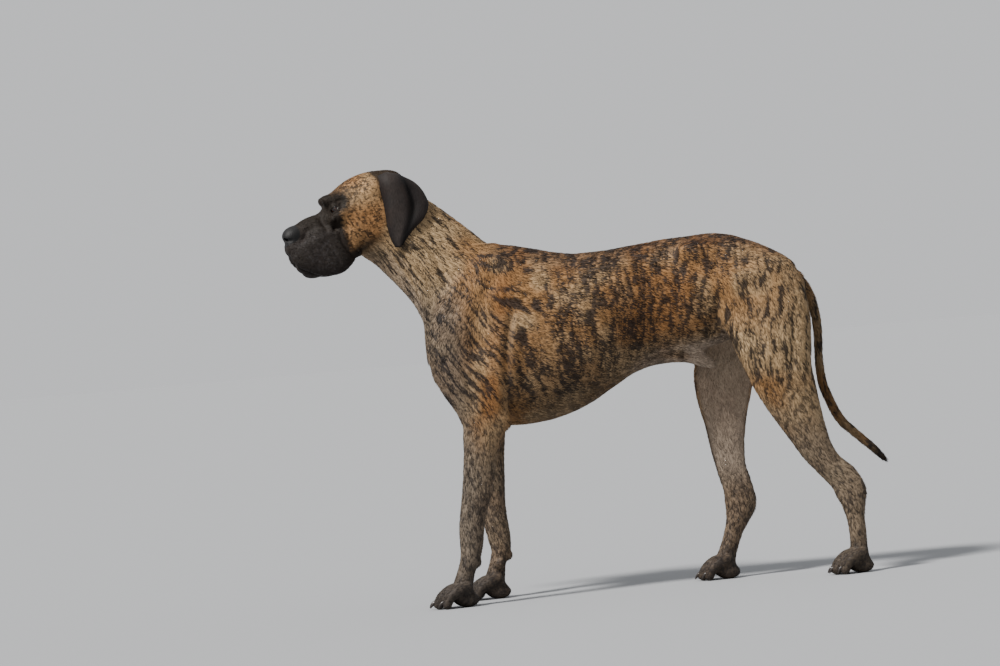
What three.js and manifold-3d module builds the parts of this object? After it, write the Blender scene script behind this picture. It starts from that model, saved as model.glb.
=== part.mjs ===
// A great dane, life size, standing square to the viewer and looking to its left front.
// Millimetres. +Z is up, the dog faces -X, and its left side is towards -Y.
// The origin is on the floor, under the middle of the dog's length and width.
//
// The flesh is one rounded field: tubes and blobs of named sizes that melt into each other.
// The field is turned into closed surfaces zone by zone, and the surfaces are parted by thin
// plane cuts into head, jaw, neck, chest, loin, croup, tail, shoulders, thighs, legs and paws.
// Ears, eyes, nose leather and claws are solids of their own.

import * as THREE from "three";
import { mergeVertices } from "three/addons/utils/BufferGeometryUtils.js";
import Module from "manifold-3d";

const wasm = await Module();
wasm.setup();

// Driving sizes
const WITHERS = 858; // height at the withers
const BRISKET = 422; // height of the chest's lowest point
const CHEST_HALF = 132; // half width of the rib cage at its widest
const LOIN_HALF = 88; // half width of the waist
const LEG_TRACK = 96; // distance of each leg from the middle of the body
const GAP = 0.3; // air left between touching pieces
const EAR_ROOM = 9; // how far the flesh stands clear of an ear's outer face
const SLIVER = 0.02; // how little a folded edge may move a surface, as area times distance squared
const LEFT = -1; // the dog's left is towards -Y
const RIGHT = 1;

// Rounded forms

const clamp = (v, low, high) => Math.min(high, Math.max(low, v));

// The smaller of two distances, rounded over a width k where they are alike.
function melt(a, b, k) {
  const h = Math.max(k - Math.abs(a - b), 0) / k;
  return Math.min(a, b) - (h * h * k) / 4;
}

// A form's box, by which far points skip it.
class Form {
  constructor(blend) {
    this.blend = blend;
    this.box = new THREE.Box3();
  }
  reaches(x, y, z, margin) {
    const { min, max } = this.box;
    return (
      x > min.x - margin && x < max.x + margin &&
      y > min.y - margin && y < max.y + margin &&
      z > min.z - margin && z < max.z + margin
    );
  }
}

// An ellipsoid. axes is a Matrix4 that places it; radii lie along the axes' own X, Y and Z.
class Blob extends Form {
  constructor(axes, radii, blend) {
    super(blend);
    this.radii = radii;
    this.inverse = axes.clone().invert().elements;
    const r = Math.max(...radii);
    const centre = new THREE.Vector3().setFromMatrixPosition(axes);
    this.box.setFromCenterAndSize(centre, new THREE.Vector3(2 * r, 2 * r, 2 * r));
  }
  distance(x, y, z) {
    const m = this.inverse;
    const [a, b, c] = this.radii;
    const p = m[0] * x + m[4] * y + m[8] * z + m[12];
    const q = m[1] * x + m[5] * y + m[9] * z + m[13];
    const r = m[2] * x + m[6] * y + m[10] * z + m[14];
    return ellipse(p, q, r, a, b, c);
  }
}

// Distance to an ellipsoid of radii a, b and c at the origin, exact on its surface.
function ellipse(p, q, r, a, b, c) {
  const k0 = Math.hypot(p / a, q / b, r / c);
  const k1 = Math.hypot(p / (a * a), q / (b * b), r / (c * c));
  return k1 < 1e-9 ? -Math.min(a, b, c) : (k0 * (k0 - 1)) / k1;
}

// A round-ended tube along stations of [x, y, z, half depth, half width].
// Depth is measured in the plane that holds the tube's line, and width across it, along "across".
class Tube extends Form {
  constructor(stations, blend, across = new THREE.Vector3(0, 1, 0), steps = 4) {
    super(blend);
    const line = new THREE.CatmullRomCurve3(
      stations.map((s) => new THREE.Vector3(s[0], s[1], s[2])), false, "centripetal");
    const sizes = new THREE.CatmullRomCurve3(
      stations.map((s) => new THREE.Vector3(s[3], s[4], 0)), false, "centripetal");
    const count = (stations.length - 1) * steps;
    this.rings = [];
    for (let i = 0; i <= count; i++) {
      const centre = line.getPoint(i / count);
      const size = sizes.getPoint(i / count);
      const along = line.getTangent(i / count);
      const side = across.clone().addScaledVector(along, -across.dot(along)).normalize();
      const up = side.clone().cross(along);
      this.rings.push({ centre, along, side, up, depth: size.x, width: size.y });
      const r = Math.max(size.x, size.y);
      this.box.expandByPoint(centre.clone().addScalar(r));
      this.box.expandByPoint(centre.clone().addScalar(-r));
    }
  }
  distance(x, y, z) {
    let best = Infinity;
    let ring = 0;
    let share = 0;
    for (let i = 0; i + 1 < this.rings.length; i++) {
      const a = this.rings[i].centre;
      const b = this.rings[i + 1].centre;
      const dx = b.x - a.x;
      const dy = b.y - a.y;
      const dz = b.z - a.z;
      const dot = (x - a.x) * dx + (y - a.y) * dy + (z - a.z) * dz;
      const t = clamp(dot / (dx * dx + dy * dy + dz * dz), 0, 1);
      const gap = (x - a.x - t * dx) ** 2 + (y - a.y - t * dy) ** 2 + (z - a.z - t * dz) ** 2;
      if (gap < best) {
        best = gap;
        ring = i;
        share = t;
      }
    }
    const a = this.rings[ring];
    const b = this.rings[ring + 1];
    const mix = (p, q) => p + (q - p) * share;
    const ox = x - mix(a.centre.x, b.centre.x);
    const oy = y - mix(a.centre.y, b.centre.y);
    const oz = z - mix(a.centre.z, b.centre.z);
    const on = (name) =>
      ox * mix(a[name].x, b[name].x) + oy * mix(a[name].y, b[name].y) + oz * mix(a[name].z, b[name].z);
    const depth = mix(a.depth, b.depth);
    const width = mix(a.width, b.width);
    return ellipse(on("up"), on("side"), on("along"), depth, width, Math.min(depth, width));
  }
}

// A trunk along X through sections of [x, top, bottom, half width, height of the widest level].
class Trunk extends Form {
  constructor(sections, blend) {
    super(blend);
    this.first = sections[0][0];
    this.last = sections.at(-1)[0];
    this.step = 4;
    this.rows = [];
    for (let x = this.first; x <= this.last + this.step; x += this.step) {
      let i = sections.findIndex((s) => s[0] > x) - 1;
      if (i < 0) i = sections.length - 2;
      const at = (j) => sections[clamp(j, 0, sections.length - 1)];
      const t = clamp((x - at(i)[0]) / (at(i + 1)[0] - at(i)[0]), 0, 1);
      this.rows.push([1, 2, 3, 4].map((c) => hermite(at, i, c, t)));
    }
    const tops = sections.map((s) => s[1]);
    const bottoms = sections.map((s) => s[2]);
    const half = Math.max(...sections.map((s) => s[3]));
    this.box.set(
      new THREE.Vector3(this.first, -half, Math.min(...bottoms)),
      new THREE.Vector3(this.last, half, Math.max(...tops)));
  }
  distance(x, y, z) {
    const inside = clamp(x, this.first, this.last);
    const place = (inside - this.first) / this.step;
    const i = Math.min(Math.floor(place), this.rows.length - 2);
    const t = place - i;
    const [top, bottom, half, level] = this.rows[i].map((v, c) => v + (this.rows[i + 1][c] - v) * t);
    const tall = z > level ? top - level : level - bottom;
    return ellipse(x - inside, y, z - level, Math.min(half, tall) * 0.5, half, tall);
  }
}

// Smooth interpolation of column c between stations i and i + 1, with no overshoot.
function hermite(at, i, c, t) {
  const slope = (j) => {
    const back = (at(j)[c] - at(j - 1)[c]) / (at(j)[0] - at(j - 1)[0] || 1);
    const ahead = (at(j + 1)[c] - at(j)[c]) / (at(j + 1)[0] - at(j)[0] || 1);
    return back * ahead > 0 ? (2 * back * ahead) / (back + ahead) : 0;
  };
  const span = at(i + 1)[0] - at(i)[0];
  const p = at(i)[c];
  const q = at(i + 1)[c];
  const t2 = t * t;
  const t3 = t2 * t;
  return (
    (2 * t3 - 3 * t2 + 1) * p + (t3 - 2 * t2 + t) * span * slope(i) +
    (3 * t2 - 2 * t3) * q + (t3 - t2) * span * slope(i + 1));
}

// A blob in the dog's own frame, pitched about Y by some degrees.
function blob(centre, radii, blend, pitch = 0) {
  const turn = new THREE.Matrix4().makeRotationY(THREE.MathUtils.degToRad(pitch));
  return new Blob(turn.setPosition(...centre), radii, blend);
}

// Trunk

const BODY = new Trunk([
  [-374, 662, 592, 34, 628],
  [-358, 738, 536, 72, 632],
  [-328, 796, 486, 98, 640],
  [-286, 834, 446, 112, 636],
  [-230, 854, BRISKET + 5, 120, 630],
  [-165, WITHERS, BRISKET, 126, 622],
  [-110, 848, BRISKET + 4, 130, 622],
  [-55, 834, 438, CHEST_HALF, 632],
  [0, 826, 459, CHEST_HALF, 646],
  [60, 827, 493, 124, 664],
  [115, 832, 524, 106, 682],
  [165, 837, 545, LOIN_HALF + 4, 696],
  [215, 842, 556, LOIN_HALF, 704],
  [265, 844, 562, LOIN_HALF + 4, 708],
  [320, 847, 575, 92, 716],
  [370, 840, 590, 92, 718],
  [420, 818, 612, 84, 716],
  [470, 787, 636, 70, 706],
  [512, 752, 660, 44, 700],
  [530, 730, 676, 20, 702],
], 1);

function pair(make) {
  return [make(LEFT), make(RIGHT)];
}

// Muscle and bone that show through the trunk, on both sides
const trunkForms = [
  ...pair((s) => blob([-338, s * 36, 600], [38, 40, 76], 30, 8)), // breast muscle
  ...pair((s) => blob([-262, s * 50, 466], [54, 42, 46], 34)), // breast between the forelegs
  ...pair((s) => blob([390, s * 62, 742], [118, 48, 78], 46, 14)), // rump
  ...pair((s) => blob([282, s * 74, 806], [34, 20, 20], 40, 10)), // point of the hip
  ...pair((s) => blob([505, s * 46, 690], [34, 26, 40], 40)), // point of the buttock
  new Tube([
    [120, 0, 556, 14, 20],
    [190, 0, 563, 20, 22],
    [246, 0, 556, 19, 18],
    [282, 0, 541, 17, 15],
    [303, 0, 531, 13, 12],
  ], 26), // sheath
];

// Neck

const NECK = new Tube([
  [-466, -12, 953, 93, 55],
  [-422, -6, 916, 101, 60],
  [-366, -2, 862, 107, 67],
  [-318, 0, 810, 114, 80],
  [-276, 0, 756, 128, 94],
  [-236, 0, 706, 138, 100],
], 46);

const neckForms = [
  NECK,
  ...pair((s) => new Tube([
    [-440, s * 43 - 8, 928, 34, 20],
    [-384, s * 53 - 3, 846, 38, 22],
    [-342, s * 54, 750, 42, 26],
    [-334, s * 36, 668, 34, 24],
  ], 40)), // muscle from the skull's base to the breastbone
];

// Head, in its own frame: F forwards along the muzzle, S to the dog's left, U up, from between the eyes

const HEAD_PLACE = new THREE.Vector3(-575, -34, 983);
const HEAD_PITCH = 21; // degrees, nose down
const HEAD_YAW = 12; // degrees, towards the dog's left

const headAxes = (() => {
  const pitch = THREE.MathUtils.degToRad(HEAD_PITCH);
  const yaw = THREE.MathUtils.degToRad(HEAD_YAW);
  const forward = new THREE.Vector3(
    -Math.cos(pitch) * Math.cos(yaw), -Math.cos(pitch) * Math.sin(yaw), -Math.sin(pitch));
  const left = new THREE.Vector3(Math.sin(yaw), -Math.cos(yaw), 0);
  const up = forward.clone().cross(left);
  return new THREE.Matrix4().makeBasis(forward, left, up).setPosition(HEAD_PLACE);
})();

const inHead = (f, s, u) => new THREE.Vector3(f, s, u).applyMatrix4(headAxes);

// A blob in the head's frame, pitched nose down by some degrees.
function headBlob(centre, radii, blend, pitch = 0, yaw = 0) {
  const turn = new THREE.Matrix4().makeRotationFromEuler(new THREE.Euler(
    0, THREE.MathUtils.degToRad(pitch), THREE.MathUtils.degToRad(yaw), "ZYX"));
  return new Blob(headAxes.clone().multiply(turn.setPosition(...centre)), radii, blend);
}

function headTube(stations, blend, across = new THREE.Vector3(0, 1, 0)) {
  const placed = stations.map(([f, s, u, depth, width]) => [...inHead(f, s, u), depth, width]);
  return new Tube(placed, blend, across.clone().transformDirection(headAxes));
}

const EYE_RADIUS = 12.5;
const EYE_PLACE = [3, 40, -1];

const skullForms = [
  headBlob([-72, 0, -6], [102, 60, 58], 1), // brain case
  ...pair((s) => headBlob([-58, s * 47, -50], [58, 26, 50], 30, 20)), // cheek muscle
  ...pair((s) => headBlob([-6, s * 46, -16], [36, 15, 13], 22, 8)), // cheekbone
  ...pair((s) => headBlob([3, s * 28, 22], [25, 18, 15], 22, -28)), // brow
  headBlob([-68, 0, -94], [68, 40, 49], 40, -10), // throat latch
  headBlob([-152, 0, -2], [28, 26, 22], 30), // occiput
  ...pair((s) => headBlob([-112, s * 52, 8], [28, 16, 20], 22)), // ear root
  headTube([
    [0, 0, -34, 36, 44],
    [36, 0, -30, 37, 33],
    [84, 0, -26, 37, 29],
    [113, 0, -34, 34, 26],
    [126, 0, -43, 26, 23],
  ], 24), // muzzle bones
];

// The upper lip on one side hangs from the muzzle to the flew.
const lipForms = (s) => [
  headTube([
    [133, s * 12, -44, 20, 19],
    [121, s * 21, -60, 38, 20],
    [99, s * 28, -72, 51, 21],
    [74, s * 32, -81, 60, 20],
    [47, s * 34, -87, 58, 19],
    [21, s * 36, -85, 47, 18],
    [2, s * 38, -78, 33, 15],
  ], 14),
  headBlob([58, s * 40, -110], [36, 13, 33], 14, 14),
];

const upperHeadForms = [...skullForms, ...lipForms(1), ...lipForms(-1)];

const jawForms = [
  headTube([
    [-20, 0, -100, 30, 34],
    [40, 0, -104, 28, 26],
    [84, 0, -104, 31, 27],
    [112, 0, -98, 33, 28],
    [124, 0, -88, 26, 24],
  ], 10),
];

// Legs: stations from the body down, [x, distance from the middle, z, half depth, half width]

const FORE = {
  [LEFT]: [
    [-196, 66, 806, 40, 20],
    [-242, 88, 742, 60, 27],
    [-296, 98, 676, 68, 34],
    [-322, 96, 622, 60, 38],
    [-300, 101, 556, 66, 37],
    [-268, 102, 492, 62, 34],
    [-258, 102, 440, 56, 30],
    [-266, 100, 400, 48, 28],
    [-275, 100, 355, 41, 26],
    [-291, 98, 272, 36, 24],
    [-304, 97, 222, 32, 23],
    [-311, LEG_TRACK, 185, 31, 24],
    [-314, LEG_TRACK, 152, 29, 24],
    [-319, LEG_TRACK, 120, 25, 22],
    [-331, LEG_TRACK, 88, 22, 21],
    [-341, LEG_TRACK, 58, 24, 25],
  ],
  [RIGHT]: [
    [-190, 66, 806, 40, 20],
    [-234, 88, 742, 60, 27],
    [-284, 98, 676, 68, 34],
    [-308, 96, 622, 60, 38],
    [-288, 101, 556, 66, 37],
    [-264, 102, 492, 62, 34],
    [-258, 102, 440, 55, 30],
    [-257, 100, 400, 47, 28],
    [-257, 100, 355, 41, 26],
    [-257, 98, 285, 36, 24],
    [-256, 97, 230, 32, 23],
    [-253, LEG_TRACK, 190, 31, 24],
    [-248, LEG_TRACK, 152, 29, 24],
    [-246, LEG_TRACK, 120, 25, 22],
    [-256, LEG_TRACK, 88, 21, 21],
    [-264, LEG_TRACK, 58, 24, 25],
  ],
};

const HIND = {
  [LEFT]: [
    [418, 78, 724, 98, 44],
    [440, 90, 640, 104, 47],
    [452, 95, 560, 92, 46],
    [462, 96, 500, 78, 41],
    [482, 95, 435, 66, 35],
    [509, 93, 362, 50, 28],
    [534, 92, 302, 39, 23],
    [561, 92, 262, 34, 19],
    [592, 92, 228, 37, 19],
    [606, 92, 196, 38, 21],
    [610, 92, 163, 29, 20],
    [612, 92, 128, 22, 18],
    [614, 92, 84, 21, 18],
    [613, 92, 50, 23, 23],
  ],
  [RIGHT]: [
    [418, 78, 724, 98, 44],
    [400, 90, 648, 102, 47],
    [368, 95, 570, 92, 46],
    [338, 96, 500, 77, 42],
    [331, 96, 440, 66, 37],
    [330, 95, 383, 52, 30],
    [330, 94, 325, 43, 25],
    [336, 93, 265, 37, 20],
    [346, 92, 225, 37, 19],
    [350, 92, 184, 40, 21],
    [341, 92, 150, 31, 20],
    [330, 92, 122, 24, 18],
    [317, 92, 88, 22, 18],
    [304, 92, 54, 24, 23],
  ],
};

const onSide = (stations, s) => stations.map(([x, y, z, depth, width]) => [x, s * y, z, depth, width]);

const foreForms = (s) => [
  new Tube(onSide(FORE[s], s), 26),
  blob([-212, s * 104, 566], [46, 32, 108], 34, 10), // upper arm's rear muscle
  blob([-208, s * 106, 444], [15, 14, 24], 16, -10), // point of the elbow
];

const hindForms = (s) => [new Tube(onSide(HIND[s], s), 40)];

// Paws: toes and pads in a frame on the floor, [forwards, outwards, up, radius]

const PAWS = {
  fore_left: { at: [-341, LEFT * LEG_TRACK], turn: 4, side: LEFT, stretch: 1.04, wide: 1 },
  fore_right: { at: [-264, RIGHT * LEG_TRACK], turn: 6, side: RIGHT, stretch: 1.04, wide: 1 },
  hind_left: { at: [612, LEFT * 92], turn: 5, side: LEFT, stretch: 0.94, wide: 0.92 },
  hind_right: { at: [301, RIGHT * 92], turn: 5, side: RIGHT, stretch: 0.94, wide: 0.92 },
};

const TOES = [
  { out: -31, reach: 44, radius: 12.5 },
  { out: -11, reach: 62, radius: 13.5 },
  { out: 11, reach: 62, radius: 13.5 },
  { out: 31, reach: 44, radius: 12.5 },
];

// A point of the paw's frame in the dog's frame.
function inPaw(paw, forwards, outwards, up) {
  const turn = THREE.MathUtils.degToRad(paw.turn);
  const f = forwards * paw.stretch;
  const o = outwards * paw.wide;
  const ahead = f * Math.cos(turn) - o * Math.sin(turn);
  const aside = f * Math.sin(turn) + o * Math.cos(turn);
  return [paw.at[0] - ahead, paw.at[1] + paw.side * aside, up];
}

function pawForms(paw) {
  const forms = TOES.map(({ out, reach, radius }) =>
    new Tube([
      [...inPaw(paw, reach - 52, out * 0.66, 50), radius - 1, radius],
      [...inPaw(paw, reach - 30, out * 0.95, 42), radius + 1.5, radius + 0.5],
      [...inPaw(paw, reach - 10, out, 28), radius + 0.5, radius + 0.5],
      [...inPaw(paw, reach, out, radius - 1), radius, radius - 0.5],
    ], 6));
  forms.push(blob(inPaw(paw, -6, 0, 17), [29, 28, 19], 12));
  forms.push(blob(inPaw(paw, 8, 0, 32), [30, 30, 22], 14));
  return forms;
}

// The pad behind the wrist and the inner dewclaw's toe
function wristForms(s, x, z) {
  return [
    blob([x + 22, s * (LEG_TRACK - 2), z], [11, 10, 13], 6, 20),
    blob([x - 2, s * (LEG_TRACK - 21), z - 18], [10, 7, 14], 8, 30),
  ];
}

// Tail

const TAIL = new Tube([
  [478, 0, 752, 24, 24],
  [520, 0, 722, 20, 20],
  [549, 0, 684, 15, 15],
  [563, 0, 640, 12, 12],
  [567, 0, 586, 11, 11],
  [564, 0, 520, 10.5, 10.5],
  [567, 0, 466, 11.5, 11.5],
  [581, 0, 418, 12, 12],
  [604, 0, 368, 12, 12],
  [642, 0, 327, 11, 11],
  [680, 0, 289, 10, 10],
  [702, 0, 264, 7, 7],
], 14);

// The field

const flesh = [
  BODY,
  ...trunkForms,
  ...neckForms,
  ...foreForms(LEFT),
  ...foreForms(RIGHT),
  ...hindForms(LEFT),
  ...hindForms(RIGHT),
  ...wristForms(LEFT, -326, 104),
  ...wristForms(RIGHT, -250, 104),
  ...Object.values(PAWS).flatMap(pawForms),
  TAIL,
];

// The distance to the melted forms, right near the surface.
function field(forms) {
  return (x, y, z) => {
    let d = 90;
    for (const form of forms) {
      if (form.reaches(x, y, z, form.blend + 24)) d = melt(d, form.distance(x, y, z), form.blend);
    }
    return d;
  };
}

// Surfaces

// The six tetrahedra of a cube, by corner number: bit 0 is X, bit 1 is Y and bit 2 is Z.
const TETS = [
  [0, 1, 3, 7], [0, 3, 2, 7], [0, 2, 6, 7], [0, 6, 4, 7], [0, 4, 5, 7], [0, 5, 1, 7],
];

// The closed surface where distance is zero, inside a box, as points and triangles.
function wrap(distance, box, cell) {
  const size = box.getSize(new THREE.Vector3());
  const n = size.toArray().map((v) => Math.ceil(v / cell) + 1);
  const index = (i, j, k) => i + n[0] * (j + n[1] * k);
  const at = (i, j, k) => [box.min.x + i * cell, box.min.y + j * cell, box.min.z + k * cell];
  const values = new Float32Array(n[0] * n[1] * n[2]);
  for (let k = 0; k < n[2]; k++)
    for (let j = 0; j < n[1]; j++)
      for (let i = 0; i < n[0]; i++) {
        const rim = i === 0 || j === 0 || k === 0 || i === n[0] - 1 || j === n[1] - 1 || k === n[2] - 1;
        let d = distance(...at(i, j, k));
        if (rim) d = Math.max(d, cell * 0.5);
        values[index(i, j, k)] = Math.abs(d) < 1e-3 * cell ? 1e-3 * cell : d;
      }
  const points = [];
  const faces = [];
  const made = new Map();
  const grid = (id) => at(id % n[0], Math.floor(id / n[0]) % n[1], Math.floor(id / (n[0] * n[1])));
  const cross = (a, b) => {
    const key = a < b ? a * 4194304 + (b - a) : b * 4194304 + (a - b);
    if (!made.has(key)) {
      const [low, high] = a < b ? [a, b] : [b, a];
      const t = clamp(values[low] / (values[low] - values[high]), 0.06, 0.94);
      const p = grid(low);
      const q = grid(high);
      made.set(key, points.length);
      points.push(p.map((v, c) => v + (q[c] - v) * t));
    }
    return made.get(key);
  };
  const corner = new Array(8);
  for (let k = 0; k + 1 < n[2]; k++)
    for (let j = 0; j + 1 < n[1]; j++)
      for (let i = 0; i + 1 < n[0]; i++) {
        let below = 0;
        for (let c = 0; c < 8; c++) {
          corner[c] = index(i + (c & 1), j + ((c >> 1) & 1), k + (c >> 2));
          if (values[corner[c]] < 0) below++;
        }
        if (below === 0 || below === 8) continue;
        for (const tet of TETS) {
          const ids = tet.map((c) => corner[c]);
          const inner = ids.filter((id) => values[id] < 0);
          const outer = ids.filter((id) => values[id] >= 0);
          if (!inner.length || !outer.length) continue;
          const ring =
            inner.length === 2
              ? [[0, 0], [0, 1], [1, 1], [1, 0]].map(([i, o]) => cross(inner[i], outer[o]))
              : inner.length === 1
                ? outer.map((o) => cross(inner[0], o))
                : inner.map((o) => cross(o, outer[0]));
          const a = points[ring[0]];
          const b = points[ring[1]];
          const c = points[ring[2]];
          const [hx, hy, hz] = grid(inner[0]);
          const ux = b[0] - a[0], uy = b[1] - a[1], uz = b[2] - a[2];
          const vx = c[0] - a[0], vy = c[1] - a[1], vz = c[2] - a[2];
          const facing =
            (uy * vz - uz * vy) * (a[0] - hx) +
            (uz * vx - ux * vz) * (a[1] - hy) +
            (ux * vy - uy * vx) * (a[2] - hz);
          if (facing < 0) ring.reverse();
          faces.push([ring[0], ring[1], ring[2]]);
          if (ring.length === 4) faces.push([ring[0], ring[2], ring[3]]);
        }
      }
  return { points, faces };
}

// Fewer triangles: edges are folded up where that moves the surface least.
class Thinner {
  constructor({ points, faces }) {
    this.points = points;
    this.faces = faces;
    this.live = faces.length;
    this.gone = new Uint8Array(faces.length);
    this.around = points.map(() => new Set());
    this.quadrics = points.map(() => new Float64Array(10));
    this.stamp = new Int32Array(points.length);
    this.heap = [];
    faces.forEach((face, f) => {
      for (const v of face) this.around[v].add(f);
      const n = this.normal(face);
      const area = Math.hypot(...n);
      if (area < 1e-12) return;
      const [a, b, c] = n.map((v) => v / area);
      const p = points[face[0]];
      const d = -(a * p[0] + b * p[1] + c * p[2]);
      const q = [a * a, a * b, a * c, a * d, b * b, b * c, b * d, c * c, c * d, d * d];
      for (const v of face) for (let i = 0; i < 10; i++) this.quadrics[v][i] += q[i] * area;
    });
    faces.forEach((face) =>
      face.forEach((v, i) => v < face[(i + 1) % 3] && this.push(v, face[(i + 1) % 3])),
    );
  }
  normal([i, j, k], moved = -1, other = -1, place = null) {
    const at = (v) => (v === moved || v === other ? place : this.points[v]);
    const a = at(i);
    const b = at(j);
    const c = at(k);
    const u = [b[0] - a[0], b[1] - a[1], b[2] - a[2]];
    const w = [c[0] - a[0], c[1] - a[1], c[2] - a[2]];
    return [u[1] * w[2] - u[2] * w[1], u[2] * w[0] - u[0] * w[2], u[0] * w[1] - u[1] * w[0]];
  }
  push(a, b) {
    const q = this.quadrics[a].map((v, i) => v + this.quadrics[b][i]);
    const p = this.points[a];
    const r = this.points[b];
    const middle = p.map((v, i) => (v + r[i]) / 2);
    // A light pull to the middle keeps the triangles even where the surface is flat.
    const pull = 0.02 * (q[0] + q[4] + q[7]) + 1e-9;
    const matrix = new THREE.Matrix3(
      q[0] + pull, q[1], q[2], q[1], q[4] + pull, q[5], q[2], q[5], q[7] + pull);
    const right = new THREE.Vector3(
      pull * middle[0] - q[3], pull * middle[1] - q[6], pull * middle[2] - q[8]);
    const place = right.applyMatrix3(matrix.invert()).toArray();
    const [x, y, z] = place;
    const bend =
      q[0] * x * x + 2 * q[1] * x * y + 2 * q[2] * x * z + 2 * q[3] * x + q[4] * y * y +
      2 * q[5] * y * z + 2 * q[6] * y + q[7] * z * z + 2 * q[8] * z + q[9];
    const span = (p[0] - r[0]) ** 2 + (p[1] - r[1]) ** 2 + (p[2] - r[2]) ** 2;
    const cost = Math.max(bend, 0) + 2e-4 * span * (q[0] + q[4] + q[7]);
    this.heapPush({ cost, a, b, place, when: this.stamp[a] + this.stamp[b] });
  }
  heapPush(item) {
    const heap = this.heap;
    let i = heap.push(item) - 1;
    while (i > 0) {
      const up = (i - 1) >> 1;
      if (heap[up].cost <= item.cost) break;
      heap[i] = heap[up];
      i = up;
    }
    heap[i] = item;
  }
  heapPop() {
    const heap = this.heap;
    const top = heap[0];
    const item = heap.pop();
    let i = 0;
    while (heap.length) {
      let next = 2 * i + 1;
      if (next >= heap.length) break;
      if (next + 1 < heap.length && heap[next + 1].cost < heap[next].cost) next++;
      if (heap[next].cost >= item.cost) break;
      heap[i] = heap[next];
      i = next;
    }
    if (heap.length) heap[i] = item;
    return top;
  }
  neighbours(v) {
    const found = new Set();
    for (const f of this.around[v]) for (const w of this.faces[f]) if (w !== v) found.add(w);
    return found;
  }
  fold({ a, b, place }) {
    const shared = [...this.around[a]].filter((f) => this.around[b].has(f));
    if (shared.length !== 2) return;
    const near = this.neighbours(a);
    const far = this.neighbours(b);
    if ([...near].filter((v) => far.has(v)).length !== 2) return;
    for (const f of [...this.around[a], ...this.around[b]]) {
      if (shared.includes(f)) continue;
      const before = this.normal(this.faces[f]);
      const after = this.normal(this.faces[f], a, b, place);
      const sizes = Math.hypot(...before) * Math.hypot(...after);
      const dot = before[0] * after[0] + before[1] * after[1] + before[2] * after[2];
      if (dot < 0.3 * sizes || Math.hypot(...after) < 1e-3) return;
    }
    for (const f of shared) {
      this.gone[f] = 1;
      this.live--;
      for (const v of this.faces[f]) this.around[v].delete(f);
    }
    for (const f of this.around[b]) {
      this.faces[f] = this.faces[f].map((v) => (v === b ? a : v));
      this.around[a].add(f);
    }
    this.around[b].clear();
    this.points[a] = place;
    for (let i = 0; i < 10; i++) this.quadrics[a][i] += this.quadrics[b][i];
    this.stamp[b] = -1e9;
    const ring = this.neighbours(a);
    this.stamp[a]++;
    for (const v of ring) this.push(a, v);
  }
  thin(target, limit = Infinity) {
    while (this.live > target && this.heap.length && this.heap[0].cost < limit) {
      const edge = this.heapPop();
      if (this.around[edge.a].size === 0 || this.around[edge.b].size === 0) continue;
      if (edge.when !== this.stamp[edge.a] + this.stamp[edge.b]) continue;
      this.fold(edge);
    }
    return { points: this.points, faces: this.faces.filter((_, f) => !this.gone[f]) };
  }
}

// Solids

function solidOf({ points, faces }) {
  const renumber = new Map();
  const positions = [];
  const triangles = [];
  for (const face of faces)
    for (const v of face) {
      if (!renumber.has(v)) {
        renumber.set(v, renumber.size);
        positions.push(...points[v]);
      }
      triangles.push(renumber.get(v));
    }
  return new wasm.Manifold(new wasm.Mesh({
    numProp: 3, vertProperties: new Float32Array(positions), triVerts: new Uint32Array(triangles) }));
}

function solidOfGeometry(geometry) {
  const bare = geometry.clone();
  for (const name of ["normal", "uv"]) bare.deleteAttribute(name);
  const merged = mergeVertices(bare, 1e-4);
  return new wasm.Manifold(new wasm.Mesh({
    numProp: 3,
    vertProperties: new Float32Array(merged.attributes.position.array),
    triVerts: new Uint32Array(merged.index.array) }));
}

// Where two corners of a surface fall on one point, each is drawn a little towards its own faces
function unpinch({ points, faces }) {
  const seen = new Map();
  const used = new Set(faces.flat());
  for (const v of used) {
    const key = points[v].map((c) => Math.fround(c).toFixed(3)).join();
    if (!seen.has(key)) {
      seen.set(key, v);
      continue;
    }
    const ring = faces.filter((face) => face.includes(v)).flat();
    const mean = (i) => ring.reduce((sum, w) => sum + points[w][i], 0) / ring.length;
    points[v] = points[v].map((c, i) => c + 0.04 * (mean(i) - c));
  }
}

// A solid's mesh, with the slivers that the cuts left folded away
function geometryOf(solid) {
  const mesh = solid.getMesh();
  const points = [];
  for (let v = 0; v < mesh.numVert; v++)
    points.push(Array.from(mesh.vertProperties.slice(v * mesh.numProp, v * mesh.numProp + 3)));
  const faces = [];
  for (let t = 0; t < mesh.numTri; t++) faces.push(Array.from(mesh.triVerts.slice(3 * t, 3 * t + 3)));
  const neat = new Thinner({ points, faces }).thin(0, SLIVER);
  unpinch(neat);
  const geometry = new THREE.BufferGeometry();
  geometry.setAttribute("position", new THREE.Float32BufferAttribute(neat.points.flat(), 3));
  geometry.setIndex(neat.faces.flat());
  return geometry;
}

// The largest closed body of a solid
function largest(solid) {
  return solid.decompose().reduce((best, one) => (one.volume() > best.volume() ? one : best));
}

// The field's surface in a box, at some cell size, thinned to a number of triangles
function model(distance, low, high, cell, triangles) {
  const box = new THREE.Box3(new THREE.Vector3(...low), new THREE.Vector3(...high));
  return solidOf(new Thinner(wrap(distance, box, cell)).thin(triangles));
}

// A box-shaped region for parting pieces, grown by some margin
function region([x0, y0, z0], [x1, y1, z1], grow = 0) {
  const geometry = new THREE.BoxGeometry(x1 - x0 + 2 * grow, y1 - y0 + 2 * grow, z1 - z0 + 2 * grow);
  geometry.translate((x0 + x1) / 2, (y0 + y1) / 2, (z0 + z1) / 2);
  return solidOfGeometry(geometry);
}

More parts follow.
